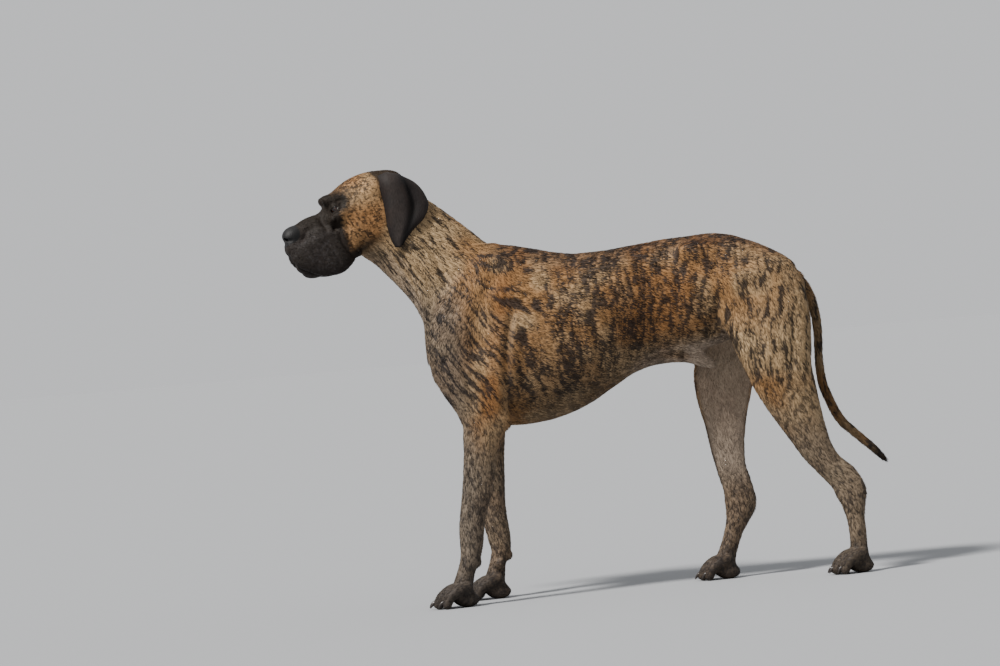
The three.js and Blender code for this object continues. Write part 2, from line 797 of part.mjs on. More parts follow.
// The half of space past a plane through a point, as a big box; its face is moved back by half the gap
function beyond(point, normal, gap = GAP / 2) {
  const size = 1600;
  const geometry = new THREE.BoxGeometry(size, size, size);
  geometry.translate(0, 0, size / 2 + gap);
  const turn = new THREE.Quaternion().setFromUnitVectors(
    new THREE.Vector3(0, 0, 1), new THREE.Vector3(...normal).normalize());
  geometry.applyQuaternion(turn);
  geometry.translate(...point);
  return solidOfGeometry(geometry);
}

const opposite = (v) => v.map((c) => -c);

// A closed body through rings of equally many points; a leaf's ends are closed from face to face
function loft(rings, leaf = false) {
  const count = rings[0].length;
  const points = rings.flat().map((p) => p.toArray());
  const faces = [];
  for (let r = 0; r + 1 < rings.length; r++)
    for (let i = 0; i < count; i++) {
      const a = r * count + i;
      const b = r * count + ((i + 1) % count);
      faces.push([a, b, a + count], [b, b + count, a + count]);
    }
  for (const [row, flip] of [[0, true], [rings.length - 1, false]]) {
    if (leaf) {
      const first = row * count;
      const last = first + count - 1;
      for (let i = 0; i + 1 < count / 2; i++) {
        const quad = [[first + i, first + i + 1, last - i - 1], [first + i, last - i - 1, last - i]];
        faces.push(...(flip ? quad.map(([a, b, c]) => [b, a, c]) : quad));
      }
      continue;
    }
    const middle = rings[row].reduce((sum, p) => sum.add(p), new THREE.Vector3()).divideScalar(count);
    const hub = points.push(middle.toArray()) - 1;
    for (let i = 0; i < count; i++) {
      const a = row * count + i;
      const b = row * count + ((i + 1) % count);
      faces.push(flip ? [b, a, hub] : [a, b, hub]);
    }
  }
  const solid = solidOf({ points, faces });
  return solid.volume() > 0 ? solid : solidOf({ points, faces: faces.map(([a, b, c]) => [a, c, b]) });
}

// Eyes, lids, nose leather and ears

const aroundEye = (s, f, out, u) => inHead(EYE_PLACE[0] + f, s * (EYE_PLACE[1] + out), EYE_PLACE[2] + u);

// A direction along which the eye looks, and the two directions across it, in the head's frame
function gaze(s) {
  const look = new THREE.Vector3(0.62, s * 0.76, 0.1).normalize();
  const level = new THREE.Vector3(0.76, -s * 0.62, -0.22).normalize();
  const rise = look.clone().cross(level).normalize();
  if (rise.z < 0) rise.negate();
  return { look, level, rise };
}

function eyeball(s, grow = 0) {
  const geometry = new THREE.SphereGeometry(EYE_RADIUS + grow, 14, 10);
  geometry.translate(...aroundEye(s, 0, 0, 0));
  return solidOfGeometry(geometry);
}

// A ring of points round the lids' opening, some way out from the eyeball's middle
function lidRing(s, wide, high, out) {
  const { look, level, rise } = gaze(s);
  const ring = [];
  for (let i = 0; i < 16; i++) {
    const a = (i / 16) * Math.PI * 2;
    const point = new THREE.Vector3(EYE_PLACE[0], s * EYE_PLACE[1], EYE_PLACE[2]);
    point.addScaledVector(look, out);
    point.addScaledVector(level, Math.cos(a) * wide);
    point.addScaledVector(rise, Math.sin(a) * high * (Math.abs(Math.sin(a)) * 0.25 + 0.75));
    ring.push(point.applyMatrix4(headAxes));
  }
  return ring;
}

const lidOpening = (s) => loft([lidRing(s, 10, 5, 4), lidRing(s, 11.5, 6, 12), lidRing(s, 16, 10, 24)]);
const lidRim = (s) =>
  loft([lidRing(s, 15, 10, 5), lidRing(s, 15.5, 10.5, 10), lidRing(s, 12.6, 7.4, 13.4)]);

const noseForms = [
  headBlob([121, 0, -11], [26, 23, 20], 1),
  ...pair((s) => headBlob([126, s * 14, -15], [19, 13, 15], 8)),
];

const nostrils = pair((s) => headTube([
  [116, s * 9, -13, 4, 4],
  [132, s * 11, -14, 5, 4.5],
  [143, s * 14, -16, 5, 4],
  [139, s * 23, -20, 3.5, 3],
  [130, s * 29, -23, 3, 2.5],
], 4));

const noseField = (grow) => (x, y, z) => field(noseForms)(x, y, z) - grow;

function nosePiece(x, y, z) {
  const d = field(noseForms)(x, y, z);
  const hole = Math.min(nostrils[0].distance(x, y, z), nostrils[1].distance(x, y, z));
  return Math.max(d, -hole);
}

// The ear leaf hangs from the skull's side: rows from its root to its tip, each from the
// front edge to the rear edge, as [forwards, to the side, up].
const EAR_ROWS = [
  [[-113, 39, 21], [-134, 40, 13], [-154, 37, 3], [-168, 33, -6], [-178, 28, -16]],
  [[-113, 54, 27], [-137, 59, 24], [-156, 57, 16], [-172, 53, 3], [-186, 47, -16]],
  [[-110, 67, 7], [-132, 77, 6], [-154, 77, 2], [-176, 69, -12], [-198, 57, -36]],
  [[-102, 71, -32], [-122, 82, -30], [-148, 83, -34], [-176, 75, -44], [-203, 60, -62]],
  [[-92, 74, -66], [-110, 85, -66], [-138, 86, -70], [-168, 78, -78], [-200, 64, -88]],
  [[-82, 77, -98], [-98, 86, -100], [-120, 89, -104], [-146, 85, -108], [-174, 75, -112]],
  [[-78, 78, -122], [-88, 85, -124], [-102, 87, -127], [-119, 85, -127], [-138, 80, -126]],
  [[-78, 80, -144], [-84, 83, -147], [-90, 84, -149], [-97, 83, -147], [-104, 81, -143]],
];
const EAR_THICK = 5;
const EAR_FOLD = { at: 0.7, wide: 0.11, deep: 6 }; // the groove down the leaf's rear third
const EAR_RIM = { at: 0.92, wide: 0.1, deep: -4 }; // the rolled rear rim

// How far a fold pulls the leaf in, at t across it and r of the way down
const earFold = ({ at, wide, deep }, t, r) =>
  deep * Math.exp(-(((t - at) / wide) ** 2)) * clamp((r - 0.15) * 4, 0, 1) * clamp((0.88 - r) * 3, 0, 1);

// With some lift the leaf's outer face stands off by that much more, for the room it needs.
function ear(s, grow = 0, lift = 0) {
  const columns = EAR_ROWS[0].map((_, c) =>
    new THREE.CatmullRomCurve3(
      EAR_ROWS.map((row) => new THREE.Vector3(row[c][0], s * row[c][1], row[c][2])),
    ),
  );
  const rings = [];
  const rows = 13;
  const across = 10;
  for (let r = 0; r <= rows; r++) {
    const row = (at) =>
      new THREE.CatmullRomCurve3(columns.map((column) => column.getPoint(clamp(at, 0, 1))));
    const line = row(r / rows);
    const ahead = row(r / rows + 0.02);
    const behind = row(r / rows - 0.02);
    const outer = [];
    const inner = [];
    for (let c = 0; c <= across; c++) {
      const t = c / across;
      const point = line.getPoint(t);
      const run = ahead.getPoint(t).sub(behind.getPoint(t)).normalize();
      const normal = line.getTangent(t).cross(run).normalize().multiplyScalar(-s);
      const edge = Math.min(1, 0.45 + 2.4 * Math.min(t, 1 - t), 0.5 + (rows - r) * 0.3);
      const half = (EAR_THICK / 2) * edge + grow;
      point.addScaledVector(normal, -earFold(EAR_FOLD, t, r / rows) - earFold(EAR_RIM, t, r / rows));
      const slide = line.getTangent(t).multiplyScalar(t === 0 ? -grow : t === 1 ? grow : 0);
      slide.addScaledVector(run, r === 0 ? -grow : r === rows ? grow : 0);
      outer.push(point.clone().add(slide).addScaledVector(normal, half + lift).applyMatrix4(headAxes));
      inner.push(point.clone().add(slide).addScaledVector(normal, -half).applyMatrix4(headAxes));
    }
    rings.push([...outer, ...inner.reverse()]);
  }
  return loft(rings, true);
}

// Claws

function claw(paw, reach, out, grow = 0) {
  const rings = [];
  const sizes = [4.6, 4.6, 3.4, 1.2];
  const steps = [[reach + 3, 18], [reach + 10, 16.5], [reach + 16, 11.5], [reach + 20.5, 5]];
  steps.forEach(([forwards, up], r) => {
    const next = steps[Math.min(r + 1, 3)];
    const last = steps[Math.max(r - 1, 0)];
    const tilt = Math.atan2(next[1] - last[1], next[0] - last[0]);
    const ring = [];
    for (let i = 0; i < 7; i++) {
      const a = (i / 7) * Math.PI * 2;
      const size = sizes[r] + grow;
      const lift = Math.sin(a) * size;
      ring.push(new THREE.Vector3(...inPaw(
        paw, forwards - Math.sin(tilt) * lift, out + Math.cos(a) * size * 0.72, up + Math.cos(tilt) * lift)));
    }
    rings.push(ring);
  });
  return loft(rings);
}

// The pieces

const bodyField = field(flesh);
const headField = field([...flesh, ...upperHeadForms]);
const jawField = field([...jawForms]);

// Parting planes, each a point on the plane and the direction towards the next piece
const NECK_HEAD = [[-448, 0, 934], [-0.72, 0, 0.66]];
const CHEST_NECK = [[-296, 0, 770], [-0.72, 0, 0.69]];
const CHEST_LOIN = [[92, 0, 680], [1, 0, 0.12]];
const LOIN_CROUP = [[285, 0, 700], [1, 0, 0.16]];
const CROUP_TAIL = [[527, 0, 722], [1, 0, -0.2]];
const TAIL_CUTS = [[[566, 0, 560], [0, 0, -1]], [[592, 0, 394], [0.45, 0, -0.9]]];

const ahead = ([point, normal]) => beyond(point, normal);
const back = ([point, normal]) => beyond(point, opposite(normal));

const trunk = model(bodyField, [-460, -160, 400], [560, 160, 880], 10, 2400);
const collar = model(headField, [-600, -130, 560], [-190, 130, 1090], 7, 800);
const skull = model(headField, [-730, -150, 790], [-380, 110, 1085], 3.4, 3000);

const shoulderBox = (s, grow = 0) =>
  s < 0
    ? region([-405, -200, 430], [-162, -84, 812], grow)
    : region([-405, 84, 430], [-162, 200, 812], grow);
const thighBox = (s, grow = 0) =>
  s < 0 ? region([272, -200, 462], [590, -34, 716], grow) : region([255, 34, 462], [570, 200, 716], grow);

function without(solid, cutters) {
  return cutters.reduce((rest, cutter) => rest.subtract(cutter), solid);
}

const pieces = {};
const limbBoxes = [LEFT, RIGHT].flatMap((s) => [shoulderBox(s, GAP), thighBox(s, GAP)]);
const lowerLegs = [-1, 1].flatMap((s) => {
  const [y0, y1] = s < 0 ? [-220, -62] : [62, 220];
  return [region([-480, y0, 300], [-120, y1, 430], 0), region([200, y0, 300], [700, y1, 462], 0)];
});
const torso = without(trunk, [...limbBoxes, ...lowerLegs]);

const earRoom = [ear(1, 0.7, EAR_ROOM), ear(-1, 0.7, EAR_ROOM)];

const noseSolid = model(nosePiece, [-735, -100, 890], [-655, -15, 965], 1.9, 480);
const noseRoom = model(noseField(0.9), [-735, -100, 890], [-655, -15, 965], 2.2, 420);
const jawOnly = (x, y, z) => Math.max(jawField(x, y, z), 1 - headField(x, y, z));

pieces.neck = without(collar.intersect(back(NECK_HEAD)).intersect(ahead(CHEST_NECK)), earRoom);
let head = skull.intersect(ahead(NECK_HEAD));
for (const s of [1, -1]) {
  head = head.add(lidRim(s)).subtract(eyeball(s, 0.4)).subtract(lidOpening(s));
  pieces[s > 0 ? "eye_left" : "eye_right"] = eyeball(s);
  pieces[s > 0 ? "ear_left" : "ear_right"] = ear(s);
}
pieces.head = without(head, [...earRoom, noseRoom]);
pieces.nose = noseSolid;
pieces.lower_jaw = without(
  model(jawOnly, [-720, -130, 790], [-540, 60, 930], 3.2, 620), [skull, noseRoom]);
pieces.chest = torso.intersect(back(CHEST_NECK)).intersect(back(CHEST_LOIN));
pieces.loin = torso.intersect(ahead(CHEST_LOIN)).intersect(back(LOIN_CROUP));
pieces.croup = torso.intersect(ahead(LOIN_CROUP)).intersect(back(CROUP_TAIL));

const tail = model(bodyField, [490, -50, 235], [730, 50, 770], 4.5, 620).intersect(
  region([505, -24, 200], [760, 24, 800]));
pieces.tail_upper = tail.intersect(ahead(CROUP_TAIL)).intersect(back(TAIL_CUTS[0]));
pieces.tail_middle = tail.intersect(ahead(TAIL_CUTS[0])).intersect(back(TAIL_CUTS[1]));
pieces.tail_lower = tail.intersect(ahead(TAIL_CUTS[1]));

// One leg's column, from the trunk down to the sole
function leg(name, s, side, box, foot, x0, x1, topZ, kneeZ, ankleZ, top, middle, low) {
  const y0 = s < 0 ? -190 : 20;
  const y1 = s < 0 ? -20 : 190;
  const inner = s < 0 ? [-300, -62 - GAP] : [62 + GAP, 300];
  const paw = PAWS[foot];
  pieces[`${top}_${side}`] = trunk.intersect(box).intersect(back(CHEST_NECK));
  const shaft = model(bodyField, [x0, y0, ankleZ - 30], [x1, y1, topZ + 60], 5.5, 560);
  const end = model(bodyField, [x0, y0, -6], [x1, y1, ankleZ + 20], 3.6, 640);
  const strip = (from, to) =>
    region([x0 - 20, inner[0], from + GAP / 2], [x1 + 20, inner[1], to - GAP / 2]);
  pieces[`${middle}_${side}`] = shaft.intersect(strip(kneeZ, topZ));
  pieces[`${low}_${side}`] = shaft.intersect(strip(ankleZ, kneeZ));
  let sole = end.intersect(region([x0 - 20, y0 - 20, 0], [x1 + 20, y1 + 20, ankleZ - GAP / 2]));
  TOES.forEach(({ out, reach }, i) => {
    sole = sole.subtract(claw(paw, reach, out, 0.35));
    pieces[`claw_${name}_${side}_${i + 1}`] = claw(paw, reach, out);
  });
  pieces[`${name}_paw_${side}`] = sole;
}

leg("fore", LEFT, "left", shoulderBox(LEFT), "fore_left", -450, -160, 429.8, 168, 66, "shoulder", "forearm", "pastern");
leg("fore", RIGHT, "right", shoulderBox(RIGHT), "fore_right", -390, -150, 429.8, 168, 66, "shoulder", "forearm", "pastern");
leg("hind", LEFT, "left", thighBox(LEFT), "hind_left", 370, 690, 461.8, 232, 62, "thigh", "gaskin", "hock");
leg("hind", RIGHT, "right", thighBox(RIGHT), "hind_right", 205, 450, 461.8, 232, 62, "thigh", "gaskin", "hock");

// Colours

const COAT = 0xb08d63;
const PALE = 0xc2ab8c;
const DARK = 0x4a3f37;
const LEG_GREY = 0xa39078;

function colourOf(name) {
  if (name.startsWith("eye")) return [0x3a2415, 0.12];
  if (name === "nose") return [0x1b1918, 0.45];
  if (name.startsWith("claw")) return [0x2a2522, 0.4];
  if (name.startsWith("ear") || name === "lower_jaw") return [0x2e2723, 0.8];
  if (name.includes("paw") || name === "head") return [DARK, 0.8];
  if (/forearm|pastern|gaskin|hock/.test(name)) return [LEG_GREY, 0.8];
  if (/neck|thigh/.test(name)) return [PALE, 0.8];
  return [COAT, 0.8];
}

const group = new THREE.Group();
for (const [name, solid] of Object.entries(pieces)) {
  const [color, roughness] = colourOf(name);
  const material = new THREE.MeshStandardMaterial({ color, roughness, metalness: 0 });
  const mesh = new THREE.Mesh(geometryOf(largest(solid)), material);
  mesh.name = name;
  group.add(mesh);
}

export default group;
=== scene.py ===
"""A great dane, life size, in its short brindle coat: skin, coat, eyes, nose leather, ears and claws.

Metres in the scene, millimetres in the forms. +Z is up, the dog faces -X and its left side is towards -Y.
The skin is one rounded field of tubes and blobs that melt into each other, meshed on an uneven grid.
"""

import logging
import math
from dataclasses import dataclass, field
from enum import Enum

import bpy
import numpy as np
from mathutils import Matrix, Vector


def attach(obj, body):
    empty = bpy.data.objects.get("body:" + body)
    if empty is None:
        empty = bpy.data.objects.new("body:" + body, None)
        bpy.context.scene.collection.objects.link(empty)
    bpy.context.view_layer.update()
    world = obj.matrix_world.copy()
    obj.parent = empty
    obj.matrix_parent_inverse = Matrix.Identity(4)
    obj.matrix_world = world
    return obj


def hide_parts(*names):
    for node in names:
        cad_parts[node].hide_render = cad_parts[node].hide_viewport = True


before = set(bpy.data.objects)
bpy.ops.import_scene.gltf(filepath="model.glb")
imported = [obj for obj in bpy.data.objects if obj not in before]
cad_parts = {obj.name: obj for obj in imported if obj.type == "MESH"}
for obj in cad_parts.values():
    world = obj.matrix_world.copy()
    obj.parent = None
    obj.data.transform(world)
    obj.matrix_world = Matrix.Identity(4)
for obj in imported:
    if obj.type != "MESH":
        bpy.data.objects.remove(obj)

log = logging.getLogger("dane")
MM = 0.001
COAT_DEPTH = 1.3
WITHERS = 858.0
BRISKET = 422.0
CHEST_HALF = 132.0
LOIN_HALF = 88.0
LEG_TRACK = 96.0
HEAD_PLACE = np.array([-575.0, -34.0, 983.0])
HEAD_PITCH = math.radians(21.0)
HEAD_YAW = math.radians(12.0)
EYE_PLACE = np.array([3.0, 40.0, -1.0])
EYE_RADIUS = 12.5
LID_WIDE = 11.2
LID_HALVES = (4.7, 4.9)
SKIN_FLOOR = 0.4
FAR = 90.0
GRID_QUICK = 1.5
BOTH = (1.0, -1.0)


class Side(Enum):
    """The two sides of the body, by the sign of Y."""

    LEFT = -1
    RIGHT = 1

    @property
    def word(self) -> str:
        """The side's name in lower case."""
        return self.name.lower()


class Zone(Enum):
    """Stretches of the body whose coat lies and is marked in its own way."""

    TRUNK = 0
    NECK = 1
    FORE = 2
    HIND = 3
    PAW = 4
    TAIL = 5
    HEAD = 6


# Small helpers


def head_axes() -> np.ndarray:
    """The head's own axes.

    Returns:
        A 3 x 3 array whose columns point forwards, to the dog's left, and up.
    """
    cp, sp = math.cos(HEAD_PITCH), math.sin(HEAD_PITCH)
    cy, sy = math.cos(HEAD_YAW), math.sin(HEAD_YAW)
    forward = np.array([-cp * cy, -cp * sy, -sp])
    left = np.array([sy, -cy, 0.0])
    return np.stack([forward, left, np.cross(forward, left)], axis=1)


HEAD_AXES = head_axes()


def from_head(points: np.ndarray) -> np.ndarray:
    """Takes points of the head's frame to the dog's frame, in millimetres."""
    return np.asarray(points, dtype=float) @ HEAD_AXES.T + HEAD_PLACE


def to_head(points: np.ndarray) -> np.ndarray:
    """Takes points of the dog's frame to the head's frame, in millimetres."""
    return (np.asarray(points, dtype=float) - HEAD_PLACE) @ HEAD_AXES


def eye_centre(side: float) -> np.ndarray:
    """The middle of an eyeball in the head's frame, with side 1 for the left and -1 for the right."""
    return np.array([EYE_PLACE[0], side * EYE_PLACE[1], EYE_PLACE[2]])


def smooth(low: float, high: float, value: np.ndarray) -> np.ndarray:
    """A soft step from 0 at low to 1 at high."""
    t = np.clip((value - low) / (high - low), 0.0, 1.0)
    return t * t * (3.0 - 2.0 * t)


def ridge(offset: np.ndarray, width: float) -> np.ndarray:
    """A bell curve of height 1 over an offset from its middle line."""
    return np.exp(-((offset / width) ** 2))


def soft_min(a: np.ndarray, b: np.ndarray, width: float) -> np.ndarray:
    """The smaller of two fields, rounded where they are closer than some width."""
    h = np.maximum(width - np.abs(a - b), 0) / width
    return np.minimum(a, b) - h * h * width / 4


def soft_max(a: np.ndarray, b: np.ndarray, width: float) -> np.ndarray:
    """The larger of two fields, rounded where they are closer than some width."""
    h = np.maximum(width - np.abs(a - b), 0) / width
    return np.maximum(a, b) + h * h * width / 4


def unit(vectors: np.ndarray) -> np.ndarray:
    """Vectors scaled to length 1."""
    return vectors / np.maximum(np.linalg.norm(vectors, axis=-1, keepdims=True), 1e-9)


def colour(red: int, green: int, blue: int) -> np.ndarray:
    """A screen colour of 0 to 255 as linear light."""
    c = np.array([red, green, blue]) / 255.0
    return np.where(c <= 0.04045, c / 12.92, ((c + 0.055) / 1.055) ** 2.4)


def wash(base: np.ndarray, tint: np.ndarray, how: np.ndarray) -> None:
    """Lays a colour over rows of base colours, in place, by a share for each row."""
    base[...] = base + (tint - base) * np.clip(how, 0, 1)[:, None]


def spline(points: np.ndarray, t: float) -> np.ndarray:
    """A point of a centripetal curve through some points.

    Args:
        points: the points, one a row.
        t: the place along the curve, from 0 to 1.

    Returns:
        The point.
    """
    last = len(points) - 1
    place = last * t
    i = min(max(int(math.floor(place)), 0), last - 1)
    w = place - i
    p1, p2 = points[i], points[i + 1]
    p0 = points[i - 1] if i > 0 else 2 * points[0] - points[1]
    p3 = points[i + 2] if i + 2 <= last else 2 * points[last] - points[last - 1]
    d0, d1, d2 = (float(np.sum((a - b) ** 2)) ** 0.25 for a, b in ((p0, p1), (p1, p2), (p2, p3)))
    d1 = d1 if d1 > 1e-4 else 1.0
    d0 = d0 if d0 > 1e-4 else d1
    d2 = d2 if d2 > 1e-4 else d1
    t1 = ((p1 - p0) / d0 - (p2 - p0) / (d0 + d1) + (p2 - p1) / d1) * d1
    t2 = ((p2 - p1) / d1 - (p3 - p1) / (d1 + d2) + (p3 - p2) / d2) * d1
    return p1 + t1 * w + (-3 * p1 + 3 * p2 - 2 * t1 - t2) * w**2 + (2 * p1 - 2 * p2 + t1 + t2) * w**3


def ellipse(p: np.ndarray, q: np.ndarray, r: np.ndarray, a, b, c) -> np.ndarray:
    """Distance to an ellipsoid of radii a, b and c at the origin, right on its surface."""
    k0 = np.sqrt((p / a) ** 2 + (q / b) ** 2 + (r / c) ** 2)
    k1 = np.sqrt((p / (a * a)) ** 2 + (q / (b * b)) ** 2 + (r / (c * c)) ** 2)
    return k0 * (k0 - 1.0) / np.maximum(k1, 1e-6)


class Grain:
    """Value noise of three dimensions, the same at every run."""

    def __init__(self, seed: int) -> None:
        """Keeps a shuffled table of values."""
        rng = np.random.default_rng(seed)
        self.table = rng.random(4096).astype(np.float32)

    def at(self, p: np.ndarray) -> np.ndarray:
        """The noise, 0 to 1, at points whose cells are 1 across."""
        base = np.floor(p).astype(np.int64)
        f = (p - base).astype(np.float32)
        f = f * f * (3 - 2 * f)
        total = np.zeros(len(p), dtype=np.float32)
        for corner in range(8):
            o = np.array([corner & 1, (corner >> 1) & 1, corner >> 2])
            c = base + o
            key = (c[:, 0] * 73856093) ^ (c[:, 1] * 19349663) ^ (c[:, 2] * 83492791)
            w = np.prod(np.where(o, f, 1 - f), axis=1)
            total += w * self.table[key & 4095]
        return total


# Forms of the body


@dataclass
class Form:
    """One rounded form. The box bounds it and blend is the width over which it melts into the rest."""

    blend: float
    zone: Zone
    low: np.ndarray = field(default_factory=lambda: np.zeros(3))
    high: np.ndarray = field(default_factory=lambda: np.zeros(3))

    def distance(self, x: np.ndarray, y: np.ndarray, z: np.ndarray) -> np.ndarray:
        """Distance from the form at points."""
        raise NotImplementedError


@dataclass
class Blob(Form):
    """An ellipsoid with its own axes."""

    axes: np.ndarray = field(default_factory=lambda: np.eye(3))
    centre: np.ndarray = field(default_factory=lambda: np.zeros(3))
    radii: tuple[float, float, float] = (1.0, 1.0, 1.0)

    def __post_init__(self) -> None:
        """Bounds the blob by a cube."""
        reach = max(self.radii)
        self.low = self.centre - reach
        self.high = self.centre + reach

    def distance(self, x: np.ndarray, y: np.ndarray, z: np.ndarray) -> np.ndarray:
        """Distance from the blob at points."""
        dx, dy, dz = x - self.centre[0], y - self.centre[1], z - self.centre[2]
        p, q, r = (dx * a[0] + dy * a[1] + dz * a[2] for a in self.axes.T)
        return ellipse(p, q, r, *self.radii)


@dataclass
class Tube(Form):
    """A round-ended tube through stations of x, y, z, half depth and half width."""

    stations: np.ndarray = field(default_factory=lambda: np.zeros((2, 5)))
    across: np.ndarray = field(default_factory=lambda: np.array([0.0, 1.0, 0.0]))
    steps: int = 4

    def __post_init__(self) -> None:
        """Cuts the tube into short rings."""
        s = np.asarray(self.stations, dtype=float)
        count = (len(s) - 1) * self.steps
        line, sizes = s[:, :3], np.column_stack([s[:, 3:5], np.zeros(len(s))])
        rows = []
        for i in range(count + 1):
            t = i / count
            ahead, behind = min(t + 1e-4, 1.0), max(t - 1e-4, 0.0)
            along = unit(spline(line, ahead) - spline(line, behind))
            side = unit(self.across - along * float(self.across @ along))
            size = spline(sizes, t)
            rows.append(np.concatenate([spline(line, t), along, side, np.cross(side, along), size[:2]]))
        self.rings = np.array(rows)
        reach = self.rings[:, 12:14].max(axis=1)[:, None]
        self.low = (self.rings[:, :3] - reach).min(axis=0)
        self.high = (self.rings[:, :3] + reach).max(axis=0)

    def nearest(self, x: np.ndarray, y: np.ndarray, z: np.ndarray) -> tuple[np.ndarray, np.ndarray]:
        """The ring before each point's nearest place on the line, and the share of the way to the next."""
        best = np.full(x.shape, 1e12, dtype=np.float32)
        ring = np.zeros(x.shape, dtype=np.int32)
        share = np.zeros(x.shape, dtype=np.float32)
        for i in range(len(self.rings) - 1):
            a = self.rings[i, :3]
            d = self.rings[i + 1, :3] - a
            px, py, pz = x - a[0], y - a[1], z - a[2]
            t = np.clip((px * d[0] + py * d[1] + pz * d[2]) / float(d @ d), 0, 1)
            gap = (px - t * d[0]) ** 2 + (py - t * d[1]) ** 2 + (pz - t * d[2]) ** 2
            closer = gap < best
            best = np.where(closer, gap, best)
            ring = np.where(closer, i, ring)
            share = np.where(closer, t, share)
        return ring, share

    def distance(self, x: np.ndarray, y: np.ndarray, z: np.ndarray) -> np.ndarray:
        """Distance from the tube at points."""
        ring, share = self.nearest(x, y, z)
        table = self.rings.astype(np.float32)
        a = table[ring]
        m = a + (table[ring + 1] - a) * share[..., None]
        ox, oy, oz = x - m[..., 0], y - m[..., 1], z - m[..., 2]
        along, side, up = (ox * m[..., c] + oy * m[..., c + 1] + oz * m[..., c + 2] for c in (3, 6, 9))
        depth, width = m[..., 12], m[..., 13]
        return ellipse(up, side, along, depth, width, np.minimum(depth, width))


@dataclass
class Trunk(Form):
    """The trunk along X, through sections of x, top, bottom, half width and height of the widest level."""

    sections: np.ndarray = field(default_factory=lambda: np.zeros((2, 5)))
    step: float = 4.0

    def __post_init__(self) -> None:
        """Fills in rows between the sections, with no overshoot."""
        s = np.asarray(self.sections, dtype=float)
        gaps = np.diff(s[:, 0])
        rises = np.diff(s[:, 1:], axis=0) / gaps[:, None]
        slopes = np.zeros((len(s), 4))
        a, b = rises[:-1], rises[1:]
        slopes[1:-1] = np.where(a * b > 0, 2 * a * b / np.where(a + b == 0, 1, a + b), 0)
        xs = np.arange(s[0, 0], s[-1, 0] + self.step + 1e-6, self.step)
        rows = []
        for x in xs:
            i = int(np.clip(np.searchsorted(s[:, 0], x, side="right") - 1, 0, len(s) - 2))
            t = min(max((x - s[i, 0]) / gaps[i], 0), 1)
            h = (2 * t**3 - 3 * t**2 + 1, t**3 - 2 * t**2 + t, 3 * t**2 - 2 * t**3, t**3 - t**2)
            start = h[0] * s[i, 1:] + h[1] * gaps[i] * slopes[i]
            rows.append(start + h[2] * s[i + 1, 1:] + h[3] * gaps[i] * slopes[i + 1])
        self.rows = np.array(rows)
        half = s[:, 3].max()
        self.low = np.array([s[0, 0], -half, s[:, 2].min()])
        self.high = np.array([s[-1, 0], half, s[:, 1].max()])

    def distance(self, x: np.ndarray, y: np.ndarray, z: np.ndarray) -> np.ndarray:
        """Distance from the trunk at points."""
        inside = np.clip(x, self.low[0], self.high[0])
        place = (inside - self.low[0]) / self.step
        i = np.minimum(np.floor(place).astype(np.int32), len(self.rows) - 2)
        t = (place - i)[..., None].astype(np.float32)
        table = self.rows.astype(np.float32)
        row = table[i] + (table[i + 1] - table[i]) * t
        top, bottom, half, level = (row[..., c] for c in range(4))
        tall = np.where(z > level, top - level, level - bottom)
        return ellipse(x - inside, y, z - level, np.minimum(half, tall) * 0.5, half, tall)


def turn_y(degrees: float) -> np.ndarray:
    """A turn about Y, as a matrix."""
    c, s = math.cos(math.radians(degrees)), math.sin(math.radians(degrees))
    return np.array([[c, 0, s], [0, 1, 0], [-s, 0, c]])


def blob(zone: Zone, centre: tuple, radii: tuple, blend: float, pitch: float = 0.0) -> Blob:
    """A blob in the dog's own frame, pitched about Y by some degrees."""
    return Blob(blend, zone, axes=turn_y(pitch), centre=np.array(centre, dtype=float), radii=radii)


def head_blob(centre: tuple, radii: tuple, blend: float, pitch: float = 0.0, yaw: float = 0.0) -> Blob:
    """A blob in the head's frame, pitched nose down and yawed by some degrees."""
    c, s = math.cos(math.radians(yaw)), math.sin(math.radians(yaw))
    turn = np.array([[c, -s, 0], [s, c, 0], [0, 0, 1]]) @ turn_y(pitch)
    return Blob(blend, Zone.HEAD, axes=HEAD_AXES @ turn, centre=from_head([centre])[0], radii=radii)


def head_tube(stations: list, blend: float) -> Tube:
    """A tube in the head's frame."""
    s = np.array(stations, dtype=float)
    placed = np.column_stack([from_head(s[:, :3]), s[:, 3:5]])
    return Tube(blend, Zone.HEAD, stations=placed, across=HEAD_AXES[:, 1])


@dataclass
class Paw:
    """Where a paw stands and how it is turned, with its four toes."""

    at: tuple[float, float]
    turn: float
    side: Side
    stretch: float
    wide: float
    toes: tuple = ((-31, 44, 12.5), (-11, 62, 13.5), (11, 62, 13.5), (31, 44, 12.5))

    def point(self, forwards: float, outwards: float, up: float) -> tuple[float, float, float]:
        """A point of the paw's frame in the dog's frame."""
        turn = math.radians(self.turn)
        f, o = forwards * self.stretch, outwards * self.wide
        ahead = f * math.cos(turn) - o * math.sin(turn)
        aside = f * math.sin(turn) + o * math.cos(turn)
        return self.at[0] - ahead, self.at[1] + self.side.value * aside, up

    def forms(self) -> list[Form]:
        """Toes and pads."""
        made: list[Form] = []
        for out, reach, radius in self.toes:
            stations = [
                (*self.point(reach - 52, out * 0.66, 50), radius - 1, radius),
                (*self.point(reach - 30, out * 0.95, 42), radius + 1.5, radius + 0.5),
                (*self.point(reach - 10, out, 28), radius + 0.5, radius + 0.5),
                (*self.point(reach, out, radius - 1), radius, radius - 0.5),
            ]
            made.append(Tube(6, Zone.PAW, stations=np.array(stations)))
        made.append(blob(Zone.PAW, self.point(-6, 0, 17), (29, 28, 19), 12))
        made.append(blob(Zone.PAW, self.point(8, 0, 32), (30, 30, 22), 14))
        return made


